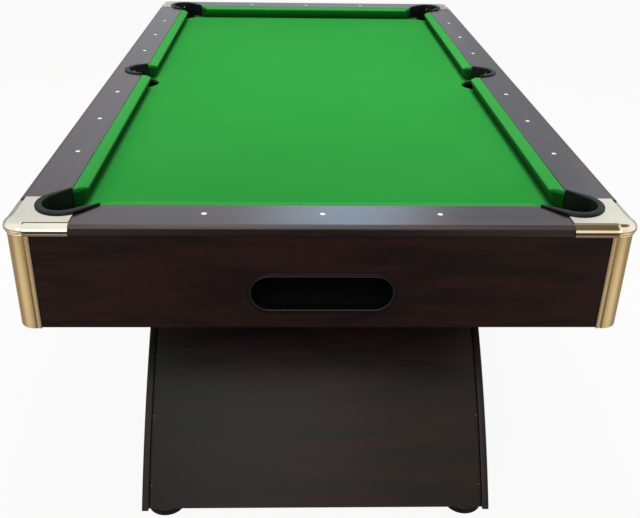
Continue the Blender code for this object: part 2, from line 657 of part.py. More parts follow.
def gully_section():
    """Round-bottomed channel about the lowest point of its floor."""
    rim = math.asin((GULLY_RADIUS - GULLY_HEIGHT) / GULLY_RADIUS)
    outer_rim = math.asin((GULLY_RADIUS - GULLY_HEIGHT) / (GULLY_RADIUS + GULLY_WALL))
    middle = (0, GULLY_RADIUS)
    inside = arc(middle, GULLY_RADIUS, -rim, rim - math.pi, ARC_STEPS)
    outside = arc(middle, GULLY_RADIUS + GULLY_WALL, outer_rim - math.pi, -outer_rim, ARC_STEPS)
    return inside + outside


run = Vector((0, GULLY_START - GULLY_END, gully_floor(GULLY_START) - gully_floor(GULLY_END)))
for side, sx in SIDES:
    middle = (sx * GULLY_SPACING / 2, (GULLY_START + GULLY_END) / 2,
              (gully_floor(GULLY_START) + gully_floor(GULLY_END)) / 2)
    frame = axes(middle, (1, 0, 0), Vector((1, 0, 0)).cross(run.normalized()))
    channel = prism(side + "_gully", gully_section(), run.length, frame)
    finish(channel, GREY_PLASTIC)

# Ball tray: behind the slot, its floor falling from both ends to a level middle
TRAY_FLOOR = SLOT_Z - SLOT_HEIGHT / 2 - TRAY_SINK
TRAY_RIM = SPOUT_BASE - TRAY_RIM_GAP


def tray_outline(shrink, rim):
    """Front view of the tray's block or of its hollow."""
    half = TRAY_LENGTH / 2 - shrink
    flat = TRAY_FLAT / 2
    low = TRAY_FLOOR - TRAY_WALL + shrink
    return [(-half, low + TRAY_FALL), (-flat, low), (flat, low), (half, low + TRAY_FALL), (half, rim), (-half, rim)]


TRAY_FRAME = axes((0, (TRAY_FRONT + TRAY_BACK) / 2, 0), (1, 0, 0), (0, 0, 1))
tray = prism("ball_tray", tray_outline(0, TRAY_RIM), TRAY_DEPTH, TRAY_FRAME)
hollow = prism("tray_hollow", tray_outline(TRAY_WALL, TRAY_RIM + TRAY_WALL), TRAY_DEPTH - 2 * TRAY_WALL, TRAY_FRAME)
cut(tray, hollow, slot_hole)
NOTCH = GULLY_RADIUS + GULLY_WALL + FIT
for side, sx in SIDES:
    middle = sx * GULLY_SPACING / 2
    notch_floor = gully_floor(GULLY_END) - GULLY_WALL - GAP
    cut(tray, slab("notch_" + side, (middle - NOTCH, GULLY_END - TRAY_WALL, notch_floor),
                   (middle + NOTCH, TRAY_BACK + TRAY_WALL, TRAY_RIM + TRAY_WALL)))
finish(tray, BLACK_PLASTIC)

# Beams: boards across the body that carry the bed, with a window for each gully
for end, sy in ENDS:
    for number, place in enumerate((LEG_TOP_IN + BEAM_NEAR, LEG_TOP_OUT - BEAM_FAR, BEAM_END)):
        y = sy * place
        outline = [(-INSIDE_X + FIT, BEAM_BOTTOM), (INSIDE_X - FIT, BEAM_BOTTOM),
                   (INSIDE_X - FIT, BED_BOTTOM - GAP), (-INSIDE_X + FIT, BED_BOTTOM - GAP)]
        sill = gully_floor(y - BEAM_THICKNESS / 2) - GULLY_WALL - GAP
        lintel = gully_floor(y) + GULLY_ROOM
        windows = []
        for side, sx in SIDES:
            middle = sx * GULLY_SPACING / 2
            windows.append([(middle - NOTCH, sill), (middle + NOTCH, sill), (middle + NOTCH, lintel),
                            (middle - NOTCH, lintel)])
        beam = prism(f"{end}_beam_{number + 1}", outline, BEAM_THICKNESS,
                     axes((0, y, 0), (1, 0, 0), (0, 0, 1)), windows)
        finish(beam, RAW_BOARD)


# Pedestals: two arched side panels with bent panels, a top plate and a base plate between them
def bulged(top, foot, bulge):
    """Centre and radius of the arc through two points that rises by bulge over their chord, outwards."""
    chord = Vector(foot) - Vector(top)
    radius = chord.length ** 2 / (8 * bulge) + bulge / 2
    outwards = Vector((-chord.y, chord.x)).normalized()
    centre = (Vector(top) + Vector(foot)) / 2 - outwards * (radius - bulge)
    return centre, radius


def out_at(circle, shift, z):
    """Place of an arc, moved outwards by shift, at a height."""
    centre, radius = circle
    return centre.x + math.sqrt((radius + shift) ** 2 - (z - centre.y) ** 2)


def leg_arc(circle, shift, start_z, end_z):
    """Points on a leg's arc, moved outwards by shift, between two heights."""
    centre, radius = circle
    start = math.asin((start_z - centre.y) / (radius + shift))
    end = math.asin((end_z - centre.y) / (radius + shift))
    return arc(centre, radius + shift, start, end, 2 * ARC_STEPS)


OUTER_ARC = bulged((LEG_TOP_OUT, LEG_TOP), (LEG_FOOT_OUT, FOOT_HEIGHT), LEG_OUT_BULGE)
INNER_ARC = bulged((LEG_TOP_IN, LEG_TOP), (LEG_FOOT_IN, FOOT_HEIGHT), LEG_IN_BULGE)
OUTER_FACE = -LEG_INSET
OUTER_BACK = -LEG_INSET - LEG_SKIN
INNER_FACE = LEG_INSET
INNER_BACK = LEG_INSET + LEG_SKIN
FOOT_OUT = LEG_FOOT_OUT - FOOT_SETBACK
FOOT_ACROSS = LEG_WIDTH / 2 - FOOT_INSET


def board_between(name, low, high, sy):
    """A level board between the side panels and the two bent panels of a leg."""
    near = out_at(INNER_ARC, INNER_BACK, low) + LEG_FIT
    far = out_at(OUTER_ARC, OUTER_BACK, high) - LEG_FIT
    ends = sorted((sy * near, sy * far))
    return slab(name, (-LEG_INSIDE + GAP, ends[0], low), (LEG_INSIDE - GAP, ends[1], high))


for end, sy in ENDS:
    upright = axes((0, 0, 0), (0, sy, 0), (0, 0, 1))
    outline = (leg_arc(OUTER_ARC, 0, LEG_TOP, FOOT_HEIGHT) + leg_arc(INNER_ARC, 0, FOOT_HEIGHT, LEG_TOP))
    for side, sx in SIDES:
        beside = Matrix.Translation((sx * (LEG_INSIDE + LEG_BOARD / 2), 0, 0))
        finish(prism(f"{end}_leg_{side}_panel", outline, LEG_BOARD, beside @ upright), DARK_BOARD)
    for label, circle, face, back in (("outer", OUTER_ARC, OUTER_FACE, OUTER_BACK),
                                      ("inner", INNER_ARC, INNER_FACE, INNER_BACK)):
        low = FOOT_HEIGHT + LEG_RAISE
        band = leg_arc(circle, face, LEG_TOP, low) + leg_arc(circle, back, low, LEG_TOP)
        finish(prism(f"{end}_leg_{label}_panel", band, 2 * (LEG_INSIDE - GAP), upright), DARK_BOARD)
    finish(board_between(end + "_leg_top_plate", LEG_TOP - TOP_PLATE, LEG_TOP, sy), RAW_BOARD)
    base = board_between(end + "_leg_base_plate", FOOT_HEIGHT, FOOT_HEIGHT + BASE_PLATE, sy)
    for side, sx in SIDES:
        x = sx * FOOT_ACROSS
        hole = rod(f"stem_hole_{end}_{side}", STEM_DIAMETER / 2 + STEM_CLEAR, (x, sy * FOOT_OUT, 0),
                   (x, sy * FOOT_OUT, FOOT_HEIGHT + 2 * BASE_PLATE), ARC_STEPS)
        cut(base, hole)
    finish(base, RAW_BOARD)


# Levelling feet: a round pad moulded on a threaded stem that screws into the base plate
def levelling_foot(name):
    """A foot turned about its stem, standing on the floor."""
    hub_top = FOOT_HEIGHT - GAP
    rim = FOOT_DIAMETER / 2
    ease = FOOT_RIM / 6
    stem = STEM_DIAMETER / 2
    points = [(0, hub_top + STEM_LENGTH), (stem, hub_top + STEM_LENGTH), (stem, hub_top), (FOOT_HUB / 2, hub_top),
              (FOOT_HUB / 2, FOOT_RIM + ease), (rim - 2 * ease, FOOT_RIM)]
    points += [(rim, FOOT_RIM - ease), (rim, ease), (rim - ease, 0), (0, 0)]
    mesh = bpy.data.meshes.new(name)
    edges = [(k, k + 1) for k in range(len(points) - 1)]
    mesh.from_pydata([(x, 0, z) for x, z in points], edges, [])
    foot = bpy.data.objects.new(name, mesh)
    PARTS.objects.link(foot)
    turn = foot.modifiers.new("turn", 'SCREW')
    turn.steps = 2 * ARC_STEPS
    turn.render_steps = 2 * ARC_STEPS
    turn.use_merge_vertices = True
    turn.merge_threshold = 0.0001
    return finished(foot)


FOOT_MESH = levelling_foot("foot")
for end, sy in ENDS:
    for side, sx in SIDES:
        place = Matrix.Translation((sx * FOOT_ACROSS, sy * FOOT_OUT, 0))
        finish(copy_of(f"foot_{end}_{side}", FOOT_MESH, place), BLACK_PLASTIC)
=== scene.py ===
import bmesh
import bpy
import numpy as np
from mathutils import Matrix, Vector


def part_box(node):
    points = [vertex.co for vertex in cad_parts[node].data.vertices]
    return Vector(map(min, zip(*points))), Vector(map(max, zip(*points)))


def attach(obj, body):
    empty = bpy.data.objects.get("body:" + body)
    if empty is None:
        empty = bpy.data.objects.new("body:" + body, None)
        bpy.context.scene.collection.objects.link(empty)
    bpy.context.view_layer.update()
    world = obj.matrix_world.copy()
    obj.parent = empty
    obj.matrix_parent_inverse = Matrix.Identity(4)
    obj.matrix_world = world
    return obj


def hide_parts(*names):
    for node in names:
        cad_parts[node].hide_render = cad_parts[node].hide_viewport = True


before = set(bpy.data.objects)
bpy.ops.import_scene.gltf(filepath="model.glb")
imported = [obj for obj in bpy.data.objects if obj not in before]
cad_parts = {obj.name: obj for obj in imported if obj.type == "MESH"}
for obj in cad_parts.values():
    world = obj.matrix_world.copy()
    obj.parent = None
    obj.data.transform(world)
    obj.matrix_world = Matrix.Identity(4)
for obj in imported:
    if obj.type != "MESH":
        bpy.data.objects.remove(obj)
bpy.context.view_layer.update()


# The pedestals: two arched legs of black-brown laminated board. Each has two upright side panels with eased
# edges, and two thin bent boards between them, one outside and one inside, screwed on through plugged holes.
# Top and base plates of raw fibreboard close each leg and take the bolts and the feet.
class Shade:
    """A socket among a material's nodes: arithmetic adds Math nodes, and node() adds any other kind."""

    def __init__(self, tree, socket=None):
        self.tree = tree
        self.socket = socket

    def node(self, kind, inputs, output=0, **settings):
        """Adds a node, sets it, feeds its inputs with values or sockets, and wraps one of its outputs."""
        made = self.tree.nodes.new("ShaderNode" + kind)
        for setting, value in settings.items():
            setattr(made, setting, value)
        for place, value in inputs.items():
            if isinstance(value, Shade):
                self.tree.links.new(value.socket, made.inputs[place])
            else:
                made.inputs[place].default_value = value
        return Shade(self.tree, made.outputs[output])

    def __add__(self, other):
        return self.node("Math", {0: self, 1: other}, operation='ADD')

    def __sub__(self, other):
        return self.node("Math", {0: self, 1: other}, operation='SUBTRACT')

    def __rsub__(self, other):
        return self.node("Math", {0: other, 1: self}, operation='SUBTRACT')

    def __mul__(self, other):
        return self.node("Math", {0: self, 1: other}, operation='MULTIPLY')

    __radd__ = __add__
    __rmul__ = __mul__


def finish(name, pattern, **fixed):
    """A material: pattern gives the sockets that vary over the piece, fixed those that hold one value."""
    made = bpy.data.materials.new(name)
    made.use_nodes = True
    tree = made.node_tree
    shader = tree.nodes["Principled BSDF"]
    for socket, value in pattern(Shade(tree)).items():
        tree.links.new(value.socket, shader.inputs[socket])
    for socket, value in fixed.items():
        shader.inputs[socket.replace("_", " ")].default_value = value
    return made


def ramp(start, value, low, high, least=0.0, most=1.0):
    """Smooth step: least below low, most above high, and an S-curve between them."""
    limits = {0: value, 1: low, 2: high, 3: least, 4: most}
    return start.node("MapRange", limits, interpolation_type='SMOOTHSTEP')


def mixed(start, share, first, second):
    """Colour that goes from first to second as share goes from 0 to 1."""
    return start.node("Mix", {0: share, 6: first, 7: second}, output=2, data_type='RGBA')


def grain(stretch, dark, red, streak, gloss, relief):
    """Printed wood grain: noise drawn out along one axis gives bands, streaks and pores in three colours."""
    def pattern(start):
        place = start.node("TexCoord", {}, output="Object")
        drawn = start.node("Mapping", {"Vector": place, "Scale": stretch})
        bands = start.node("TexNoise", {"Vector": drawn, "Scale": 9.0, "Detail": 3.0, "Distortion": 0.6})
        lines = start.node("TexNoise", {"Vector": drawn, "Scale": 42.0, "Detail": 5.0, "Roughness": 0.65})
        pores = start.node("TexNoise", {"Vector": drawn, "Scale": 150.0, "Detail": 2.0})
        wide = mixed(start, ramp(start, bands, 0.36, 0.66), dark, red)
        colour = mixed(start, ramp(start, lines, 0.48, 0.80, 0.0, 0.55), wide, streak)
        shade = mixed(start, ramp(start, pores, 0.55, 0.75, 0.0, 0.30), colour, (0.004, 0.003, 0.003, 1))
        rough = gloss + 0.16 * (lines - 0.5) + 0.05 * bands
        bump = start.node("Bump", {"Strength": relief, "Distance": 0.0004, "Height": lines + 0.5 * pores})
        return {"Base Color": shade, "Roughness": rough, "Normal": bump}
    return pattern


def speckle(base, fleck, size, rough):
    """Pressed or moulded stuff: two sizes of noise mix a base and a fleck, and roughen the surface."""
    def pattern(start):
        place = start.node("TexCoord", {}, output="Object")
        fine = start.node("TexNoise", {"Vector": place, "Scale": size, "Detail": 4.0, "Roughness": 0.7})
        broad = start.node("TexNoise", {"Vector": place, "Scale": size * 0.06, "Detail": 2.0})
        colour = mixed(start, ramp(start, fine, 0.42, 0.68) * (0.4 + 0.8 * broad), base, fleck)
        bump = start.node("Bump", {"Strength": 0.15, "Distance": 0.0002, "Height": fine})
        return {"Base Color": colour, "Roughness": rough + 0.2 * (fine - 0.5), "Normal": bump}
    return pattern


def dress(node, material):
    """Gives a solid that is carried over from the CAD its material."""
    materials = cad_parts[node].data.materials
    materials.clear()
    materials.append(material)


def piece(name, grids, material, nodes=(), body="table", sides=(), crease=32, face_up=False):
    """One object from grids of points and flat sides, each side one face: welded and facing outwards."""
    points = []
    faces = []
    count = 0
    for grid in grids:
        rows, columns = grid.shape[:2]
        index = count + np.arange(rows * columns).reshape(rows, columns)
        quads = np.stack((index[:-1, :-1], index[:-1, 1:], index[1:, 1:], index[1:, :-1]), -1)
        faces += quads.reshape(-1, 4).tolist()
        points.append(grid.reshape(-1, 3))
        count += rows * columns
    for side in sides:
        faces.append(list(range(count, count + len(side))))
        points.append(side)
        count += len(side)
    mesh = bpy.data.meshes.new(name)
    mesh.from_pydata(np.concatenate(points).tolist(), [], faces)
    work = bmesh.new()
    work.from_mesh(mesh)
    bmesh.ops.remove_doubles(work, verts=work.verts, dist=1e-6)
    bmesh.ops.recalc_face_normals(work, faces=work.faces)
    if face_up and sum(face.normal.z * face.calc_area() for face in work.faces) < 0:
        bmesh.ops.reverse_faces(work, faces=work.faces)
    work.to_mesh(mesh)
    work.free()
    mesh.materials.append(material)
    mesh.shade_smooth()
    mesh.set_sharp_from_angle(angle=np.radians(crease))
    made = bpy.data.objects.new(name, mesh)
    bpy.context.scene.collection.objects.link(made)
    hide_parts(*nodes)
    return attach(made, body)


def turned(profile, steps=48):
    """Surface of revolution: each radius and height of the profile carried once round the Z axis."""
    profile = np.array(profile, float)
    angle = np.linspace(0, 2 * np.pi, steps + 1)
    radius = profile[:, 0, None]
    height = np.broadcast_to(profile[:, 1, None], (len(profile), steps + 1))
    return np.stack((radius * np.cos(angle), radius * np.sin(angle), height), -1)


def bow(top, foot, bulge):
    """Middle and radius of the circle through two points whose arc stands out by bulge from their chord."""
    top = np.array(top)
    foot = np.array(foot)
    chord = foot - top
    length = np.hypot(*chord)
    radius = length ** 2 / (8 * bulge) + bulge / 2
    outwards = np.array((-chord[1], chord[0])) / length
    return (top + foot) / 2 - outwards * (radius - bulge), radius


def bent(node, end, width, outside, inside, rise, material, ease):
    """Board between two arcs: arc, height and inset give its outline, carried across with eased edges."""
    inset = ease * np.array([6, 1, 0.3, 0, 0, 0.3, 1, 6])
    step = ease * np.array([0, 0, 0.3, 1])
    across = np.concatenate((width[0] + step, width[1] - step[::-1]))
    level = np.linspace(0, 1, 49)
    height = rise[0] + inset[:, None] + level * (rise[1] - rise[0] - 2 * inset[:, None])
    edges = []
    for (middle, radius), shift, sign in ((*outside, -1), (*inside, 1)):
        reach = (radius + shift + sign * inset[:, None]) ** 2 - (height - middle[1]) ** 2
        out = end * (middle[0] + np.sqrt(reach))
        edges.append(np.stack((np.broadcast_to(across[:, None], out.shape), out, height), -1))
    loop = np.concatenate((edges[0], edges[1][:, ::-1], edges[0][:, :1]), 1)
    flats = [np.stack((edges[0][row], edges[1][row]), 1) for row in (0, -1)]
    return piece(node + "_board", [loop] + flats, material, (node,))


leg_grain = grain((0.30, 2.2, 2.2), (0.0045, 0.0045, 0.0048, 1), (0.021, 0.0085, 0.0080, 1),
                  (0.036, 0.020, 0.018, 1), 0.36, 0.12)
leg_laminate = finish("leg_laminate", leg_grain, Specular_IOR_Level=0.28)
raw_board = finish("raw_board", speckle((0.23, 0.15, 0.085, 1), (0.13, 0.08, 0.045, 1), 420.0, 0.75))
plug_finish = finish("plug_finish", speckle((0.012, 0.009, 0.008, 1), (0.03, 0.02, 0.018, 1), 300.0, 0.3))
leg_foot = 0.033
leg_top = 0.5852
outer_bow = bow((0.411, leg_top), (1.030, leg_foot), 0.060)
inner_bow = bow((0.130, leg_top), (0.875, leg_foot), 0.085)
panel_near = 0.392
panel_far = 0.408
panel_ease = 0.0016
bent_setback = 0.0045
bent_thickness = 0.009
bent_reach_down = 0.0035
bent_ease = 0.0007
plug_heights = (0.078, 0.205, 0.312)
plug_across = 0.3865
plug_head = turned([(0, 0.0009), (0.0016, 0.00085), (0.0029, 0.0006), (0.0034, 0.0001), (0.0034, -0.002),
                    (0, -0.002)], 20)
for end_name, end in (("front", -1), ("rear", 1)):
    for side_name, side in (("left", -1), ("right", 1)):
        width = sorted((side * panel_near, side * panel_far))
        bent(f"{end_name}_leg_{side_name}_panel", end, width, (outer_bow, 0.0), (inner_bow, 0.0),
             (leg_foot, leg_top), leg_laminate, panel_ease)
    for layer, arc, face in (("outer", outer_bow, -bent_setback),
                             ("inner", inner_bow, bent_setback + bent_thickness)):
        node = f"{end_name}_leg_{layer}_panel"
        low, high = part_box(node)
        bent(node, end, (low.x, high.x), (arc, face), (arc, face - bent_thickness),
             (low.z - bent_reach_down, high.z), leg_laminate, bent_ease)
    dress(f"{end_name}_leg_top_plate", raw_board)
    dress(f"{end_name}_leg_base_plate", raw_board)
    plugs = []
    for height in plug_heights:
        middle, radius = outer_bow
        steep = np.arcsin((height - middle[1]) / (radius - bent_setback))
        out = end * (middle[0] + (radius - bent_setback) * np.cos(steep))
        lean = np.array([[1, 0, 0],
                         [0, end * np.sin(steep), -np.cos(steep)],
                         [0, end * np.cos(steep), np.sin(steep)]])
        plugs += [plug_head @ lean + np.array((side * plug_across, out, height)) for side in (-1, 1)]
    piece(f"{end_name}_leg_plugs", plugs, plug_finish, ())


# The levelling feet: moulded black discs with a hub, each on a zinc-plated threaded stem that screws into
# the base plate, so that the table can be set level. Turning one lets it down by up to twenty millimetres.
foot_plastic = finish("foot_plastic",
                      speckle((0.010, 0.010, 0.011, 1), (0.022, 0.022, 0.024, 1), 500.0, 0.32))


def zinc(start):
    """Zinc plating: broad clouds of slightly different grey, which roughen the surface as well."""
    place = start.node("TexCoord", {}, output="Object")
    cloud = start.node("TexNoise", {"Vector": place, "Scale": 160.0, "Detail": 3.0})
    colour = mixed(start, cloud, (0.50, 0.51, 0.53, 1), (0.66, 0.66, 0.66, 1))
    return {"Base Color": colour, "Roughness": 0.22 + 0.2 * cloud}


zinc_plate = finish("zinc_plate", zinc, Metallic=1.0)
foot_profile = [(0, 0), (0.0405, 0), (0.0431, 0.0005), (0.0446, 0.0018), (0.0450, 0.0040), (0.0450, 0.0168),
                (0.0447, 0.0186), (0.0439, 0.0200), (0.0425, 0.0208), (0.0400, 0.0210), (0.0290, 0.0219),
                (0.0272, 0.0224), (0.0263, 0.0236), (0.0260, 0.0254), (0.0260, 0.0305), (0.0255, 0.0320),
                (0.0243, 0.0327), (0, 0.0327)]


def thread(low, high, radius, pitch, depth):
    """Screw thread: the radius is a triangle wave of height over pitch less the turn, faded at the ends."""
    height = np.linspace(low, high, 241)[:, None]
    angle = np.linspace(0, 2 * np.pi, 33)[None, :]
    turns = (height - low) / pitch - angle / (2 * np.pi)
    wave = np.abs(2 * (turns - np.floor(turns)) - 1)
    fade = np.clip((high - height) / pitch, 0, 1) * np.clip((height - low) / pitch, 0, 1)
    reach = radius - depth * (1 - wave * fade)
    reach[0] = 0
    reach[-1] = 0
    height = np.broadcast_to(height, reach.shape)
    return np.stack((reach * np.cos(angle), reach * np.sin(angle), height), -1)


foot_across = 0.358
foot_along = 0.969
pad = turned(foot_profile, 72)
stem = thread(low=0.031, high=0.0687, radius=0.005, pitch=0.0015, depth=0.0007)
for end_name, end in (("front", -1), ("rear", 1)):
    for side_name, side in (("left", -1), ("right", 1)):
        node = f"foot_{end_name}_{side_name}"
        spot = np.array((side * foot_across, end * foot_along, 0))
        piece(node + "_pad", [pad + spot], foot_plastic, (node,), node)
        piece(node + "_stem", [stem + spot], zinc_plate, (), node)


# The bed and its beams: a fibreboard bed on six cross boards, sawn and left raw because nobody sees them.
# The gullies pass through windows in the beams, and the pedestals' top plates bolt to them.
dress("bed", raw_board)
for end_name in ("front", "rear"):
    for number in (1, 2, 3):
        dress(f"{end_name}_beam_{number}", raw_board)


# The aprons: boards of mahogany laminate with a reddish grain along their length and eased edges. Their ends
# sit in the corner trims, and the front one is cut through for the return slot.
def closed(rings):
    """Rings with their first point repeated at the end, so that each of them joins up."""
    return np.concatenate((rings, rings[:, :1]), 1)


def rounded(corners, size, steps=4, hold=1.8):
    """Closed outline: a parabola across each corner between points size away, and one more held beyond."""
    corners = np.array(corners, float)
    before = np.roll(corners, 1, 0) - corners
    after = np.roll(corners, -1, 0) - corners
    before = (before / np.linalg.norm(before, axis=1)[:, None])[:, None]
    after = (after / np.linalg.norm(after, axis=1)[:, None])[:, None]
    size = np.broadcast_to(size, len(corners))[:, None, None]
    along = np.linspace(0, 1, steps + 1)[None, :, None]
    peak = corners[:, None]
    curve = peak + size * ((1 - along) ** 2 * before + along ** 2 * after)
    return np.concatenate((peak + hold * size * before, curve, peak + hold * size * after), 1).reshape(-1, 2)


apron_ease = 0.0014


def board(node, material):
    """Board: a round-cornered rectangle across it, carried along its length and drawn in at both ends."""
    low, high = np.array(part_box(node))
    along = int(np.argmax(high - low))
    across = [axis for axis in range(3) if axis != along]
    inset = apron_ease * np.array([4, 1, 0.3, 0, 0, 0, 0, 0.3, 1, 4])
    step = apron_ease * np.array([0, 0, 0.3, 1, 3])
    stops = np.concatenate((low[along] + step, high[along] - step[::-1]))
    half = ((high - low) / 2)[across]
    square = np.array(((-1, -1), (1, -1), (1, 1), (-1, 1)))
    rings = np.stack([rounded(square * (half - drawn), apron_ease) for drawn in inset])
    points = np.empty(rings.shape[:2] + (3,))
    points[..., along] = stops[:, None]
    points[..., across] = rings + ((low + high) / 2)[across]
    return piece(node + "_board", [closed(points)], material, (node,),
                 sides=(points[0], points[-1]))


mahogany = ((0.0155, 0.0100, 0.0092, 1), (0.034, 0.0135, 0.0125, 1), (0.058, 0.022, 0.020, 1))
apron_x = finish("apron_laminate_x", grain((0.40, 2.4, 2.4), *mahogany, 0.38, 0.08), Specular_IOR_Level=0.12)
apron_y = finish("apron_laminate_y", grain((2.4, 0.40, 2.4), *mahogany, 0.38, 0.08), Specular_IOR_Level=0.12)
board("rear_apron", apron_x)
board("left_apron", apron_y)
board("right_apron", apron_y)


def slot_loop(radius, straight):
    """Slot with round ends in four runs: under, right, over and left, split at the diagonals of the ends."""
    under = np.radians(np.concatenate((np.linspace(225, 270, 13), np.linspace(270, 315, 13))))
    right = np.radians(np.linspace(315, 405, 25))
    shift = np.repeat((-straight, straight), 13)
    bottom = np.stack((shift + radius * np.cos(under), radius * np.sin(under)), -1)
    end = np.stack((straight + radius * np.cos(right), radius * np.sin(right)), -1)
    return np.concatenate((bottom, end, -bottom, -end))


def frame_loop(low, high, inset):
    """Rectangle with as many points to a side as the slot's loop has to a run, so that spokes join them."""
    left, under = np.array(low) + inset
    right, over = np.array(high) - inset
    sides = [((left, under), (right, under), 26), ((right, under), (right, over), 25),
             ((right, over), (left, over), 26), ((left, over), (left, under), 25)]
    return np.concatenate([np.linspace(first, last, count) for first, last, count in sides])


low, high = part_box("front_apron")
apron_face = low.y
apron_thickness = 0.018
slot_height = 0.651
slot_half = 0.139
slot_radius = 0.036
slot_straight = slot_half - slot_radius
cut_radius = 0.0395
loops = [slot_loop(cut_radius, slot_straight) + np.array((0, slot_height))]
frame_inset = apron_ease * np.array((4, 1, 0.3, 0, 0))
loops += [frame_loop((low.x, low.z), (high.x, high.z), inset) for inset in frame_inset]
loops = np.stack(loops + loops[::-1])
deep = apron_ease * np.array((0, 0, 0, 0.3, 1, 3))
deep = apron_face + np.concatenate((deep, apron_thickness - deep[::-1]))
layers = np.stack((loops[..., 0], np.broadcast_to(deep[:, None], loops.shape[:2]), loops[..., 1]), -1)
layers = np.concatenate((layers, layers[:1]))
piece("front_apron_board", [closed(layers)], apron_x, ("front_apron",))


# The return: a moulded black bezel pushed through the slot in the front apron, its flange with a rounded
# outer edge and a raised lip. Behind it are the moulded tray and the two gullies that slope down to it.
bezel_plastic = finish("bezel_plastic",
                       speckle((0.005, 0.005, 0.006, 1), (0.010, 0.010, 0.011, 1), 700.0, 0.28),
                       Specular_IOR_Level=0.25)
bezel_section = [(0.0000, -0.0005), (0.0004, 0.0018), (0.0012, 0.0030), (0.0024, 0.0036), (0.0036, 0.0034),
                 (0.0044, 0.0028), (0.0056, 0.0026), (0.0068, 0.0029), (0.0079, 0.0027), (0.0086, 0.0020),
                 (0.0090, 0.0010), (0.0090, 0.0003), (0.0032, 0.0003), (0.0030, -0.0010), (0.0030, -0.0175),
                 (0.0024, -0.0180), (0.0006, -0.0180), (0.0000, -0.0174)]
rings = []
for spread, proud in bezel_section:
    loop = slot_loop(slot_radius + spread, slot_straight)
    out = np.full(len(loop), apron_face - proud)
    rings.append(np.stack((loop[:, 0], out, loop[:, 1] + slot_height), -1))
rings = np.stack(rings + rings[:1])
piece("return_bezel_moulding", [closed(rings)], bezel_plastic, ("return_bezel",))
tray_plastic = finish("tray_plastic",
                      speckle((0.007, 0.007, 0.008, 1), (0.012, 0.012, 0.013, 1), 380.0, 0.55))
gully_plastic = finish("grey_plastic", speckle((0.10, 0.10, 0.105, 1), (0.14, 0.14, 0.145, 1), 380.0, 0.5))
dress("ball_tray", tray_plastic)
dress("left_gully", gully_plastic)
dress("right_gully", gully_plastic)


# The corner trims: satin gold extrusions with a rounded face, a bead and a flat flange along each edge, and
# slots behind for the ends of the aprons. They are sawn to length, so one section runs from top to bottom.
def folded(start):
    """Distances from the table's middle: the absolute X, Y and Z, so that its corners share a pattern."""
    place = start.node("TexCoord", {}, output="Object")
    away = start.node("VectorMath", {0: place}, output="Vector", operation='ABSOLUTE')
    return [start.node("SeparateXYZ", {0: away}, output=axis) for axis in "XYZ"]


def satin(start):
    """Brushed gold: noise drawn out along Z gives faint streaks, and the flanges' edges are pale: a
    painted highlight.
    """
    place = start.node("TexCoord", {}, output="Object")
    drawn = start.node("Mapping", {"Vector": place, "Scale": (60.0, 60.0, 0.7)})
    streaks = start.node("TexNoise", {"Vector": drawn, "Scale": 6.0, "Detail": 4.0, "Roughness": 0.6})
    clouds = start.node("TexNoise", {"Vector": place, "Scale": 14.0, "Detail": 2.0})
    share = 0.35 * ramp(start, streaks, 0.3, 0.7) + 0.5 * clouds
    gold = mixed(start, share, (0.67, 0.51, 0.26, 1), (0.76, 0.61, 0.35, 1))
    x, y = folded(start)[:2]
    # Painted highlight: a pale line along the flanges' edges next to the aprons.
    edge_highlight = 1 - ramp(start, x, 0.5578, 0.5586) * ramp(start, y, 1.0228, 1.0236)
    colour = mixed(start, edge_highlight, gold, (0.95, 0.90, 0.80, 1))
    return {"Base Color": colour, "Roughness": 0.18 + 0.05 * streaks + 0.06 * clouds}


def round_arc(middle, radius, start, end, steps):
    """Points on a circle: cosine and sine of angles in degrees at even steps."""
    angle = np.radians(np.linspace(start, end, steps + 1))
    return np.stack((middle[0] + radius * np.cos(angle), middle[1] + radius * np.sin(angle)), -1)


def placed(points, origin, turn):
    """Points turned about Z by degrees, then moved: X and Y go through the turn's cosines and sines."""
    angle = np.radians(turn)
    flat = points[..., :2] @ np.array([[np.cos(angle), np.sin(angle)], [-np.sin(angle), np.cos(angle)]])
    return np.concatenate((flat, points[..., 2:]), -1) + np.array(origin)


trim_gold = finish("trim_gold", satin, Metallic=1.0)
trim_half = np.concatenate((
    round_arc((0.033, 0.033), 0.036, 225, 270, 14),
    [(0.0340, -0.0030), (0.0352, -0.0029)],
    round_arc((0.0378, -0.0035), 0.0022, 160, 20, 8),
    [(0.0404, -0.0029), (0.0408, -0.0030), (0.0444, -0.0030), (0.0455, -0.0028), (0.0460, -0.0020)],
    [(0.0460, -0.0006), (0.0455, -0.0003), (0.0372, -0.0003), (0.0370, 0.0000), (0.0370, 0.0183)],
    [(0.0510, 0.0183), (0.0510, 0.0209), (0.0344, 0.0209), (0.0344, -0.0004)],
    round_arc((0.033, 0.033), 0.0334, 270, 225, 10)))
trim_outline = np.concatenate((trim_half[:-1], trim_half[::-1, ::-1][:-1]))
trim_corner = (0.6025, 1.0675)
trim_cut_short = 0.003
trim_hold = 0.0004
corners = (("front_left", -1, -1, 0), ("front_right", 1, -1, 90),
           ("rear_right", 1, 1, 180), ("rear_left", -1, 1, 270))
for corner, side, end, turn in corners:
    node = "corner_trim_" + corner
    low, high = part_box(node)
    top = high.z - trim_cut_short
    levels = np.array((low.z, low.z + trim_hold, top - trim_hold, top))[:, None, None]
    rings = np.broadcast_to(trim_outline, (4,) + trim_outline.shape)
    rings = np.concatenate((rings, np.broadcast_to(levels, rings.shape[:2] + (1,))), -1)
    rings = placed(rings, (side * trim_corner[0], end * trim_corner[1], 0), turn)
    piece(node + "_extrusion", [closed(rings)], trim_gold, (node,),
          sides=(rings[0], rings[-1]), crease=50)


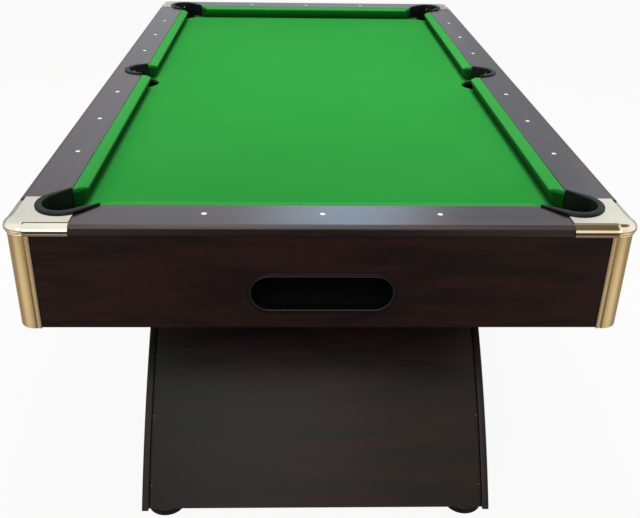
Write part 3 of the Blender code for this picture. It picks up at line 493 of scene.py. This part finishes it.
# The bed cloth: one piece of green worsted, stretched over the bed, rolled over the edge of each pocket's
# hole and glued down inside it. Its edges are held under the rails.
def worsted(start):
    """Woven cloth: fine crossing waves, noise for the nap and broad clouds, with painted shade that darkens
    the green under the cushions' noses and a painted highlight that makes the cushions' tops a little paler."""
    place = start.node("TexCoord", {}, output="Object")
    weave = {"Vector": place, "Scale": 330.0, "Distortion": 1.2, "Detail": 1.0}
    warp = start.node("TexWave", weave, output="Fac", bands_direction='X')
    weft = start.node("TexWave", weave, output="Fac", bands_direction='Y')
    nap = start.node("TexNoise", {"Vector": place, "Scale": 900.0, "Detail": 3.0, "Roughness": 0.7})
    cloud = start.node("TexNoise", {"Vector": place, "Scale": 3.2, "Detail": 3.0})
    ground = mixed(start, ramp(start, cloud, 0.3, 0.7), (0.022, 0.281, 0.040, 1), (0.025, 0.297, 0.045, 1))
    colour = mixed(start, ramp(start, nap, 0.35, 0.75, 0.0, 0.5), ground, (0.042, 0.364, 0.065, 1))
    relief = warp * 0.5 + weft * 0.5 + nap
    bump = start.node("Bump", {"Strength": 0.25, "Distance": 0.0002, "Height": relief})
    x, y, height = folded(start)
    # Painted shade: outside the open bed and below the noses' height, the green is drawn towards a deep dark
    # green.
    inside = ramp(start, x, 0.495, 0.480) * ramp(start, y, 0.960, 0.945)
    deep = (1 - inside) * ramp(start, height, 0.7915, 0.7885, 0.0, 0.85)
    colour = mixed(start, deep, colour, (0.004, 0.066, 0.009, 1))
    # Painted highlight: above the noses' height, the cushions' tops are drawn a little towards a paler
    # green.
    top_highlight = ramp(start, height, 0.7912, 0.7940, 0.0, 0.22)
    colour = mixed(start, top_highlight, colour, (0.095, 0.470, 0.120, 1))
    return {"Base Color": colour, "Roughness": 0.86 + 0.1 * nap, "Normal": bump}


green_cloth = finish("green_cloth", worsted, Specular_IOR_Level=0.03, Sheen_Weight=0.02)
cloth_level = 0.758
cloth_thickness = 0.0011
corner_pocket = (0.5105, 0.9755)
side_pocket = (0.5185, 0.0)
hole_radius = 0.0449
hole_round = 0.0045
hole_depth = 0.0066
patch_half = 0.0545
patch_x = np.linspace(0.456, 0.573, 13)
patch_y = np.linspace(-patch_half, patch_half, 13)
strip_y = np.linspace(patch_half, corner_pocket[1] - patch_half, 25)
rows_up = np.concatenate((patch_y[6:], strip_y[1:], corner_pocket[1] + patch_y[1:]))
rows_all = np.concatenate((-rows_up[:0:-1], rows_up))


def at_height(plan, height):
    """Points of a plan with their heights as a third column, one height for each row or for all of them."""
    return np.concatenate((plan, np.broadcast_to(height, plan.shape[:-1] + (1,))), -1)


def level_grid(across, along):
    """Flat grid of points at the cloth's height."""
    return at_height(np.stack(np.meshgrid(across, along), -1), cloth_level)


def pocket_patch(middle):
    """Cloth round a hole: rings go from a rectangle to a circle, then down a quarter round into it."""
    y = middle[1] + patch_y
    right = np.stack((np.full_like(y, patch_x[-1]), y), -1)
    left = np.stack((np.full_like(y, patch_x[0]), y), -1)
    under = np.stack((patch_x, np.full_like(patch_x, y[0])), -1)
    over = np.stack((patch_x, np.full_like(patch_x, y[-1])), -1)
    rim = np.concatenate((under, right[1:], over[::-1][1:], left[::-1][1:]))
    ray = rim - middle
    ray = ray / np.linalg.norm(ray, axis=1)[:, None]
    share = np.linspace(0, 1, 6)[:, None, None]
    flat = rim * (1 - share) + (middle + ray * (hole_radius + hole_round)) * share
    roll = np.linspace(0, np.pi / 2, 7)[1:]
    radius = np.append(hole_radius + hole_round * (1 - np.sin(roll)), hole_radius)
    drop = np.append(hole_round * (1 - np.cos(roll)), hole_depth)
    down = middle + ray[None] * radius[:, None, None]
    flat = at_height(flat, cloth_level)
    down = at_height(down, (cloth_level - drop)[:, None, None])
    return np.concatenate((flat, down))


half = [level_grid(patch_x, strip_y), level_grid(patch_x, -strip_y[::-1])]
half += [pocket_patch(np.array(side_pocket))]
half += [pocket_patch(np.array((corner_pocket[0], end * corner_pocket[1]))) for end in (1, -1)]
patches = [level_grid(np.linspace(-patch_x[0], patch_x[0], 33), rows_all)]
patches += [grid * np.array((side, 1, 1)) for side in (-1, 1) for grid in half]
bed_cover = piece("bed_cover", patches, green_cloth, ("bed_cloth",), face_up=True, crease=80)
thick = bed_cover.modifiers.new("thickness", 'SOLIDIFY')
thick.thickness = cloth_thickness
thick.offset = -1


# The rails: glossy mahogany laminate over board, with a rounded outer edge, mitred and cut back under the
# corner caps and scooped out for the pockets. The cushions are fixed to their inner edges, and round pearly
# sights are let into their tops.
def face_shaded(pattern):
    """A laminate's pattern with painted shade: its colour drawn towards black from the rounded nose down
    the outer face.
    """
    def with_face_shade(start):
        sockets = pattern(start)
        height = folded(start)[2]
        # Painted shade on the rails' outer faces, from the nose downwards.
        face = ramp(start, height, 0.7990, 0.7930, 0.0, 0.75)
        sockets["Base Color"] = mixed(start, face, sockets["Base Color"], (0.007, 0.006, 0.006, 1))
        return sockets
    return with_face_shade


rail_gloss = ((0.008, 0.0050, 0.0060, 1), (0.036, 0.0095, 0.0115, 1), (0.080, 0.026, 0.028, 1))
rail_x = finish("rail_laminate_x", face_shaded(grain((0.16, 3.0, 3.0), *rail_gloss, 0.27, 0.05)),
                Coat_Weight=0.6, Coat_Roughness=0.14, Specular_IOR_Level=0.4)
rail_y = finish("rail_laminate_y", face_shaded(grain((3.0, 0.16, 3.0), *rail_gloss, 0.27, 0.05)),
                Coat_Weight=0.6, Coat_Roughness=0.14, Specular_IOR_Level=0.4)
rail_top = 0.800
half_width = 0.5125
half_length = 0.9775
corner_setback = half_width - corner_pocket[0]
side_setback = side_pocket[0] - half_width
side_mouth = 0.056
corner_mouth = 0.0745
scoop = 0.0458
mitre_reach = 0.058
mitre_gap = 0.0005
outer_part = 0.08
cap_cover = 0.0318
cut_back = 0.0075
cut_height = 0.791


def rail_inner(half_edge, long):
    """Half a rail's inner edge as pairs of outward and lengthwise: pocket arcs joined by their tangents."""
    middle = np.array((-corner_setback, half_edge - corner_setback))
    tip = np.array((0.0, half_edge - corner_mouth))
    gap = tip - middle
    turn = np.degrees(np.arctan2(gap[1], gap[0]) + np.arccos(scoop / np.hypot(*gap)))
    corner = round_arc(middle, scoop, turn, 45, 18)
    start = np.array([(0.0, 0.0)])
    if long:
        ear = np.array((-side_setback, side_mouth))
        rise = np.degrees(np.arctan2(ear[1], ear[0]) - np.arccos(scoop / np.hypot(*ear)))
        start = np.concatenate((round_arc((side_setback, 0), scoop, 0, rise, 18), [(0.0, side_mouth)]))
    straight = np.linspace(start[-1], tip, 9)[1:]
    seam = tip + (corner[0] - tip) * np.array((0.0426, 0.0428))[:, None] / (corner[0, 1] - tip[1])
    return np.concatenate((start, straight, seam, corner))


def rail_solid(half_edge, long):
    """Rail: a section from inner edge over top and down the face, carried along and cut back at its ends."""
    half = rail_inner(half_edge, long)
    edge = np.concatenate((half[:0:-1] * np.array((1, -1)), half))
    ease = round_arc((0.001, rail_top - 0.001), 0.001, 180, 90, 4)
    nose = round_arc((0.086, rail_top - 0.008), 0.008, 90, 0, 12)
    lip = round_arc((0.0925, 0.7805), 0.0015, 0, -90, 4)
    near = np.concatenate(([(0.0, 0.7583), (0.0, rail_top - 0.002)], ease, [(0.0018, rail_top)]))
    joint = [(0.0830, rail_top), (0.0849, rail_top), (0.0852, rail_top - 0.0005),
             (0.0855, rail_top - 0.0005), (0.0858, rail_top)]
    lap = [(0.0905, 0.7790), (0.0904, 0.7820), (0.0684, 0.7820), (0.0684, 0.7583)]
    far = np.concatenate((joint, nose, [(0.094, 0.7830)], lip, lap))
    section = np.concatenate((near, far))
    follows = np.concatenate((np.ones(len(near)), np.zeros(len(far))))
    out = section[None, :, 0] + follows[None] * edge[:, :1]
    mitre = np.zeros(len(edge))
    mitre[0] = -1
    mitre[-1] = 1
    along = edge[:, 1:] + mitre[:, None] * (np.minimum(out, mitre_reach) - edge[:, :1] - mitre_gap)
    height = np.broadcast_to(section[None, :, 1], out.shape)
    covered = (np.abs(edge[:, 1:]) > half_edge - cap_cover) & (section[None, :, 0] > outer_part)
    out = np.where(covered, out - cut_back, out)
    height = np.where(covered, np.minimum(height, cut_height), height)
    return np.stack((along, -out, height), -1)


def pearl(start):
    """Pearly inlay: slow noise through a narrow range of creams, a little rougher where it is paler."""
    place = start.node("TexCoord", {}, output="Object")
    cloud = start.node("TexNoise", {"Vector": place, "Scale": 240.0, "Detail": 2.0, "Distortion": 1.5})
    colour = mixed(start, cloud, (0.86, 0.86, 0.83, 1), (0.94, 0.94, 0.93, 1))
    return {"Base Color": colour, "Roughness": 0.18 + 0.15 * cloud}


sight_pearl = finish("sight_pearl", pearl)
sight_dome = turned([(0, 0.80055), (0.0019, 0.8005), (0.0038, 0.80037), (0.0050, 0.8002), (0.0057, 0.7999),
                     (0.0057, 0.7990), (0, 0.7990)], 28)
sight_out = 0.039
sight_spacing = 0.23
rails = (("front", half_width, False, 0, -half_length, 0), ("rear", half_width, False, 0, half_length, 180),
         ("left", half_length, True, -half_width, 0, 270), ("right", half_length, True, half_width, 0, 90))
for name, half_edge, long, x, y, turn in rails:
    solid = placed(rail_solid(half_edge, long), (x, y, 0), turn)
    piece(name + "_rail_board", [closed(solid)], rail_y if long else rail_x, (name + "_rail",),
          sides=(solid[0], solid[-1]))
    steps = (-3, -2, -1, 1, 2, 3) if long else (-1, 0, 1)
    spots = [np.array((step * sight_spacing, -sight_out, 0)) for step in steps]
    sights = [placed(sight_dome + spot, (x, y, 0), turn) for spot in spots]
    piece(name + "_rail_sights", sights, sight_pearl)


# The cushions: strips of rubber with a pointed nose, wrapped in the bed's cloth and held to the rails' inner
# edges. Their ends are cut back at an angle to open the pockets, and the cloth is pulled tight round them.
def cushion_strip(low_end, high_end, low_slant, high_slant):
    """Cushion: a soft-cornered section carried along, its ends sheared by depth times slope and drawn in."""
    corners = [(0.0003, 0.7583), (0.0003, 0.7994), (0.0170, 0.7988), (0.0285, 0.7935), (0.0154, 0.7583)]
    section = rounded(corners, (0.0002, 0.0020, 0.0050, 0.0032, 0.0008), 8, 1.05)
    inset = np.array([0.0050, 0.0016, 0.0008, 0.0002, 0.0, 0.0])
    step = np.array([0.0, 0.0001, 0.0006, 0.0016, 0.0030, 0.0090])
    heart = np.array((0.0110, 0.7820))
    girth = 0.014
    drawn = 1 - np.concatenate((inset, inset[::-1])) / girth
    rings = heart + (section[None] - heart) * drawn[:, None, None]
    low = low_end + rings[:len(step), :, 0] * low_slant + step[:, None]
    high = high_end - rings[len(step):, :, 0] * high_slant - step[::-1, None]
    return np.concatenate((np.concatenate((low, high))[..., None], rings), -1)


corner_slope = np.tan(np.radians(40))
side_slope = np.tan(np.radians(12))
end_reach = half_width - corner_mouth
side_reach = half_length - corner_mouth
side_gap = 0.0563
cushions = (("front", -end_reach, end_reach, corner_slope, corner_slope, 0, -half_length, 0),
            ("rear", -end_reach, end_reach, corner_slope, corner_slope, 0, half_length, 180),
            ("left_front", side_gap, side_reach, side_slope, corner_slope, -half_width, 0, 270),
            ("left_rear", -side_reach, -side_gap, corner_slope, side_slope, -half_width, 0, 270),
            ("right_front", -side_reach, -side_gap, corner_slope, side_slope, half_width, 0, 90),
            ("right_rear", side_gap, side_reach, side_slope, corner_slope, half_width, 0, 90))
for name, low_end, high_end, low_slant, high_slant, x, y, turn in cushions:
    rings = placed(cushion_strip(low_end, high_end, low_slant, high_slant), (x, y, 0), turn)
    strip = piece(name + "_cushion_strip", [closed(rings)], green_cloth, (name + "_cushion",),
                  sides=(rings[0], rings[-1]), crease=60)


# The pocket liners: black moulded plastic, screwed to the rails. A flange with a rounded edge lies on the
# rail, a throat with two pointed wings goes down to the cushions' ends, and a cup with a spout leads to the
# gully.
liner_plastic = finish("liner_plastic",
                       speckle((0.006, 0.006, 0.007, 1), (0.013, 0.013, 0.014, 1), 620.0, 0.40),
                       Specular_IOR_Level=0.24)
rail_seat = 0.8003
cap_seat = 0.8028
flange_thickness = 0.004
flange_foot = 0.79
wing_gap = 0.001
side_tip = (-side_setback, side_mouth)
corner_tip = (-0.04985, 0.05268)


def throat_track(radius, tip):
    """Pocket edge in plan: an arc about the pocket's middle, and tangents from it to the two wing tips."""
    reach = np.arctan2(tip[1], tip[0]) - np.arccos(min(1.0, radius / np.hypot(*tip)))
    bend = round_arc((0, 0), radius, -np.degrees(reach), np.degrees(reach), 48)
    last = np.linspace(bend[-1], tip, 7)[1:]
    return np.concatenate((last[::-1] * np.array((1, -1)), bend, last))


def liner_ring(tip, seat):
    """Flange and throat: radius, wing inset and height of a section on tracks, the wings bent down."""
    wing = np.array((tip[0] + wing_gap, tip[1] - wing_gap))
    top = seat + flange_thickness
    section = [(0.0410, -0.0016, 0.7583), (0.0410, -0.0016, top - 0.0040), (0.0411, -0.0015, top - 0.0020),
               (0.0416, -0.0012, top - 0.0009), (0.0424, -0.0008, top - 0.0003), (0.0436, -0.0003, top),
               (0.0475, 0.0004, top), (0.0510, 0.0010, top - 0.0001), (0.0533, 0.0014, top - 0.0005),
               (0.0548, 0.0018, top - 0.0013), (0.0554, 0.0020, top - 0.0024),
               (0.0555, 0.0020, seat + 0.0004), (0.0552, 0.0018, seat), (0.0450, 0.0001, seat),
               (0.0448, 0.0, seat - 0.0003), (0.0448, 0.0, 0.7583)]
    bend = np.concatenate((np.linspace(1, 0, 7)[:-1], np.zeros(49), np.linspace(0, 1, 7)[1:]))
    tracks = []
    for radius, inset, height in section:
        plan = throat_track(radius, wing + np.array((0, inset)))
        level = height - bend * (seat - rail_seat) * (height > flange_foot)
        tracks.append(at_height(plan, level[:, None]))
    return np.stack(tracks, 1)


def cup_wall():
    """Cup: two cylinders whose top steps down on the mouth's side and whose foot rises over the outlet."""
    turn = np.linspace(-180, 180, 145)
    over = np.where(np.abs(turn) < 90, 0.7585, 0.7503)
    foot = np.where(np.abs(turn) < 134, 0.6706, 0.7355)
    radius = np.array((0.0407, 0.0407, 0.0411, 0.0441, 0.0445, 0.0445, 0.0407))[:, None]
    height = np.stack((foot, over - 0.0004, over, over, over - 0.0004, foot, foot))
    angle = np.radians(turn)[None]
    return np.stack((radius * np.cos(angle), radius * np.sin(angle), height), -1)


cup_floor = turned([(0, 0.6735), (0.0407, 0.6735), (0.0440, 0.6735), (0.0445, 0.6730), (0.0445, 0.6705),
                    (0, 0.6705)], 72)
spout_section = rounded([(-0.034, 0.6705), (0.034, 0.6705), (0.034, 0.7005), (0.031, 0.7005),
                         (0.031, 0.6735), (-0.031, 0.6735), (-0.031, 0.7005), (-0.034, 0.7005)], 0.0008, 2)
spout_stops = np.array((-0.0860, -0.0852, -0.0310))[:, None, None]
spout_rings = np.broadcast_to(spout_section, (3,) + spout_section.shape)
spout_rings = np.concatenate((np.broadcast_to(spout_stops, spout_rings.shape[:2] + (1,)), spout_rings), -1)
screw_head = turned([(0, 0.0012), (0.0014, 0.00115), (0.0024, 0.0008), (0.0029, 0.0), (0.0029, -0.001),
                     (0, -0.001)], 20)
screw_out = 0.0409
screw_height = 0.786
screw_turn = 38
wall_screw = screw_head[..., [2, 1, 0]] * np.array((-1, 1, 1)) + np.array((screw_out, 0, screw_height))
pockets = [(corner, side * corner_pocket[0], end * corner_pocket[1], turn + 225, corner_tip, cap_seat)
           for corner, side, end, turn in corners]
pockets += [("left", -side_pocket[0], 0, 180, side_tip, rail_seat),
            ("right", side_pocket[0], 0, 0, side_tip, rail_seat)]
for name, x, y, turn, tip, seat in pockets:
    node = "pocket_liner_" + name
    ring = liner_ring(tip, seat)
    grids = [closed(ring), cup_wall(), cup_floor, closed(spout_rings)]
    ends = [ring[0], ring[-1], spout_rings[0], spout_rings[-1]]
    piece(node + "_moulding", [placed(grid, (x, y, 0), turn) for grid in grids], liner_plastic, (node,),
          sides=[placed(loop, (x, y, 0), turn) for loop in ends], crease=40)
    heads = [placed(wall_screw, (x, y, 0), turn + around) for around in (-screw_turn, screw_turn)]
    piece(node + "_screws", heads, zinc_plate)


# The corner caps: polished pale gold castings screwed down over the rails' mitres. The flat top is cut away
# round the pocket. Below its edge come a step, a sloping panel, a bead, a groove and a lip, which run into a
# plain rounded corner.
def polished(start):
    """Polished gold: faint clouds of colour, wiping marks in the roughness, painted shade in step and
    groove.
    """
    place = start.node("TexCoord", {}, output="Object")
    cloud = start.node("TexNoise", {"Vector": place, "Scale": 18.0, "Detail": 3.0})
    wipe = start.node("TexNoise", {"Vector": place, "Scale": 260.0, "Detail": 3.0, "Roughness": 0.7})
    gold = mixed(start, ramp(start, cloud, 0.3, 0.7), (0.87, 0.79, 0.60, 1), (0.92, 0.86, 0.72, 1))
    x, y, z = folded(start)
    # Painted shade: along the cap's legs, the skirt's step and groove are darkened towards brown and made
    # rougher.
    step = ramp(start, z, 0.7988, 0.7993) * ramp(start, z, 0.8021, 0.8016)
    groove = ramp(start, z, 0.7836, 0.7844, 0.65, 1.0) * ramp(start, z, 0.7892, 0.7885)
    skirt = 1 - ramp(start, x, 0.564, 0.568) * ramp(start, y, 1.029, 1.033)
    crease_shade = (0.75 * step + groove) * skirt
    colour = mixed(start, crease_shade, gold, (0.10, 0.075, 0.045, 1))
    return {"Base Color": colour, "Roughness": 0.09 + 0.05 * wipe + 0.04 * cloud + 0.25 * crease_shade}


cap_gold = finish("cap_gold", polished, Metallic=1.0)
rail_corner = (0.6065, 1.0715)
cap_top = 0.8025
cap_leg = 0.126
corner_round = 0.036
swell_in = -0.0160
swell_out = 0.0200
swell_level = 0.7885


def cap_shell():
    """Cap from the rails' corner: stations on its outer edge, each with a section ruled to the throat."""
    leg = np.linspace(cap_leg, 0.0415, 10)
    run = np.concatenate((np.stack((leg, 0 * leg), -1), [(0.0398, 0), (0.0385, 0)]))
    middle = np.array((corner_round, corner_round))
    bend = round_arc(middle, corner_round, 270, 225, 12)
    half = np.concatenate((run, bend))
    facing = np.concatenate((np.tile((0.0, -1.0), (len(run), 1)), (bend - middle) / corner_round))
    smooth = np.concatenate((np.zeros(len(leg)), [0.5, 1.0], np.ones(len(bend))))
    pocket = np.array(rail_corner) - np.array(corner_pocket)
    throat = np.concatenate(([(cap_leg, 0.0613)], round_arc(pocket, scoop, 307.6, 225, 24)))
    walked = np.concatenate(([0], np.cumsum(np.hypot(*np.diff(half, axis=0).T))))
    inner_walk = np.concatenate(([0], np.cumsum(np.hypot(*np.diff(throat, axis=0).T))))
    share = walked / walked[-1] * inner_walk[-1]
    inner = np.stack([np.interp(share, inner_walk, throat[:, axis]) for axis in (0, 1)], -1)
    edge = [(-0.0200, 0.0), (-0.0146, 0.0)] + round_arc((-0.0142, -0.0006), 0.0006, 90, 0, 5).tolist()
    panel = [(-0.0135, -0.0026), (-0.0131, -0.0031), (-0.0126, -0.0035), (-0.0119, -0.0038)]
    panel += [(0.0002, -0.0085)] + round_arc((0.00019, -0.01007), 0.0015, 67, 27, 4).tolist()
    bead = round_arc((-0.02364, -0.02166), 0.028, 26, 18, 5).tolist()
    groove = [(0.0028, -0.0136), (0.0018, -0.0142), (0.0010, -0.0149), (0.0007, -0.0158), (0.0010, -0.0167)]
    lip = [(0.0030, -0.0178), (0.0036, -0.0183), (0.0039, -0.0189), (0.0040, -0.0197), (0.0040, -0.0222)]
    lip += [(0.0037, -0.0229), (0.0031, -0.0230)]
    moulded = np.array(edge + panel + bead + groove + lip) + np.array((0, cap_top))
    swell = np.radians(np.linspace(90, -34, len(moulded)))
    rise = cap_top - swell_level
    plain = np.stack((swell_in + swell_out * np.cos(swell), swell_level + rise * np.sin(swell)), -1)
    plain[0] = (-0.0200, cap_top)
    under = np.array([(0.0010, 0.7795), (0.0005, 0.7800), (0.0005, 0.7824), (-0.0008, 0.7836),
                      (-0.0010, 0.7920), (-0.0128, 0.7968), (-0.0156, 0.7998), (-0.0200, rail_seat)])
    moulded = np.concatenate((moulded, under))
    plain = np.concatenate((plain, under))
    section = moulded[None] + smooth[:, None, None] * (plain - moulded)[None]
    plan = half[:, None] + facing[:, None] * section[..., :1]
    rings = np.concatenate((plan, section[..., 1:]), -1)
    above = at_height(inner, cap_top)
    below = at_height(inner, rail_seat)
    ruled = np.linspace(0, 1, 4)[1:-1, None, None]
    upper = np.moveaxis(above[None] + ruled * (rings[:, 0] - above)[None], 0, 1)
    lower = np.moveaxis(below[None] + ruled * (rings[:, -1] - below)[None], 0, 1)
    rings = np.concatenate((above[:, None], upper, rings, lower[:, ::-1], below[:, None]), 1)
    other = rings[::-1][1:][..., [1, 0, 2]]
    return np.concatenate((rings, other))


for corner, side, end, turn in corners:
    node = "corner_cap_" + corner
    rings = placed(cap_shell(), (side * rail_corner[0], end * rail_corner[1], 0), turn)
    piece(node + "_casting", [closed(rings)], cap_gold, (node,),
          sides=(rings[0], rings[-1]), crease=20)


# The stage: a pale floor that keeps the table's soft shadow, a white surround, two soft lamps, one kept out
# of reflections, and the camera at the photograph's view. The room's wall, window, ceiling strip and dark
# card, and the floor's glow, only show mirrored in the table's glossy pieces.
def looks(start):
    """1 for the camera's own rays, and 1 for rays that are mirrored or go through something."""
    seen = start.node("LightPath", {}, output="Is Camera Ray")
    glossy = start.node("LightPath", {}, output="Is Glossy Ray")
    through = start.node("LightPath", {}, output="Is Transmission Ray")
    return seen, glossy + through


white = (1, 1, 1, 1)
floor_half = 30
floor_mesh = bpy.data.meshes.new("floor")
floor_corners = [(x * floor_half, y * floor_half, 0) for x, y in ((-1, -1), (1, -1), (1, 1), (-1, 1))]
floor_mesh.from_pydata(floor_corners, [], [(0, 1, 2, 3)])
floor = bpy.data.objects.new("floor", floor_mesh)
bpy.context.scene.collection.objects.link(floor)
floor_material = bpy.data.materials.new("floor")
floor_material.use_nodes = True
floor_tree = floor_material.node_tree
floor_tree.nodes.remove(floor_tree.nodes["Principled BSDF"])
start = Shade(floor_tree)
seen, mirrored = looks(start)
plain = start.node("BsdfDiffuse", {"Color": (0.80, 0.79, 0.78, 1)})
place = start.node("TexCoord", {}, output="Object")
place = start.node("VectorMath", {0: place}, output="Vector", operation='ABSOLUTE')
pool = start.node("VectorMath", {0: place, 1: (1.62, 1.8, 0.0)}, output="Value", operation='DISTANCE')
beside = ramp(start, start.node("SeparateXYZ", {0: place}, output="X"), 0.2, 0.95)
glow = mixed(start, beside, (0.11, 0.095, 0.075, 1), (0.42, 0.34, 0.25, 1))
glow = mixed(start, ramp(start, pool, 0.95, 0.15), glow, (1.0, 0.97, 0.90, 1))
glow = mixed(start, seen, glow, white)
lit = start.node("Emission", {"Color": glow, "Strength": 1.0})
both = start.node("MixShader", {0: 0.93 * seen + 0.95 * mirrored, 1: plain, 2: lit})
floor_tree.links.new(both.socket, floor_tree.nodes["Material Output"].inputs["Surface"])
floor_mesh.materials.append(floor_material)

world = bpy.data.worlds.new("surround")
bpy.context.scene.world = world
world.use_nodes = True
start = Shade(world.node_tree)
seen, mirrored = looks(start)
facing = start.node("TexCoord", {}, output="Generated")
across, depth, height = (start.node("SeparateXYZ", {0: facing}, output=axis) for axis in "XYZ")
behind = ramp(start, depth, 0.1, 0.75)
ahead = ramp(start, depth, -0.15, -0.9)
card_way = (0.378, 0.320, 0.869)
card = start.node("VectorMath", {0: facing, 1: card_way}, output="Value", operation='DOT_PRODUCT')
card = ramp(start, card, 0.925, 0.972)
rightwards = ramp(start, across, -0.25, 0.30)
window = ramp(start, across, -0.09, 0.07) * ramp(start, across, 0.22, 0.07) * ramp(start, height, 0.36, 0.41)
window = window * ramp(start, height, 0.52, 0.46) * behind
strip = ramp(start, height, 0.70, 0.82) * ramp(start, across, -0.29, -0.17) * ramp(start, across, 0.30, 0.18)
left_shade = ramp(start, across, -0.16, -0.32, 0.0, 0.16)
right_shade = ramp(start, across, 0.13, 0.22, 0.0, 0.30) * ramp(start, across, 0.375, 0.33)
wall = (0.60 + ramp(start, height, 0.22, 0.40, 0.0, 0.40)) * (1.0 - right_shade) - left_shade
room = (wall * behind + (1.0 - behind) * (1.0 - 0.04 * ahead)) * (1.0 - 0.84 * card)
room = room * (1.0 + 3.0 * window + 0.9 * strip)
sky = 0.05 + ramp(start, height, 0.0, 0.85) * (0.58 - 0.32 * rightwards)
strength = seen + (1 - seen) * (mirrored * room + (1 - mirrored) * sky)
warm = mixed(start, rightwards, (1.0, 0.97, 0.94, 1), (1.0, 0.86, 0.68, 1))
tint = mixed(start, ahead, mixed(start, behind, white, (0.88, 0.94, 1.0, 1)), warm)
tint = mixed(start, card, tint, (1.0, 0.74, 0.42, 1))
tint = mixed(start, window, tint, (0.50, 0.74, 1.0, 1))
tint = mixed(start, seen, tint, white)
backdrop = world.node_tree.nodes["Background"]
world.node_tree.links.new(tint.socket, backdrop.inputs["Color"])
world.node_tree.links.new(strength.socket, backdrop.inputs["Strength"])


def stood(right, over, back, spot):
    """Placement matrix whose columns are an object's own X, Y and Z axes and its place."""
    return Matrix((*np.stack((right, over, back, spot), 1).tolist(), (0, 0, 0, 1)))


lamps = (("overhead", (0.1, 0.25, 2.9), (0.0, 0.1, 0.8), 1.5, 50.0, False),
         ("front_fill", (-0.9, -4.8, 3.0), (0.0, -0.9, 0.5), 4.0, 36.0, True))
for name, spot, aim, size, power, shows in lamps:
    lamp = bpy.data.lights.new(name, 'AREA')
    lamp.size = size
    lamp.energy = power
    holder = bpy.data.objects.new(name, lamp)
    holder.visible_glossy = shows
    bpy.context.scene.collection.objects.link(holder)
    towards = np.array(aim) - np.array(spot)
    towards = towards / np.linalg.norm(towards)
    right = np.cross(towards, (0, 1, 0.001))
    right = right / np.linalg.norm(right)
    holder.matrix_world = stood(right, np.cross(right, towards), -towards, spot)

pitch = 0.44985
yaw = 0.02743
roll = 0.01522
eye = (-0.0619, -2.4056, 1.4735)
forward = np.array((np.sin(yaw) * np.cos(pitch), np.cos(yaw) * np.cos(pitch), -np.sin(pitch)))
level = np.array((np.cos(yaw), -np.sin(yaw), 0))
upright = np.cross(level, forward)
right = level * np.cos(roll) + upright * np.sin(roll)
over = upright * np.cos(roll) - level * np.sin(roll)
lens = bpy.data.cameras.new("camera")
lens.sensor_width = 36
lens.lens = 44.669
lens.shift_x = 0.0150
lens.shift_y = -0.0723
camera = bpy.data.objects.new("camera", lens)
bpy.context.scene.collection.objects.link(camera)
camera.matrix_world = stood(right, over, -forward, eye)
bpy.context.scene.camera = camera
bpy.context.scene.view_settings.view_transform = 'Standard'
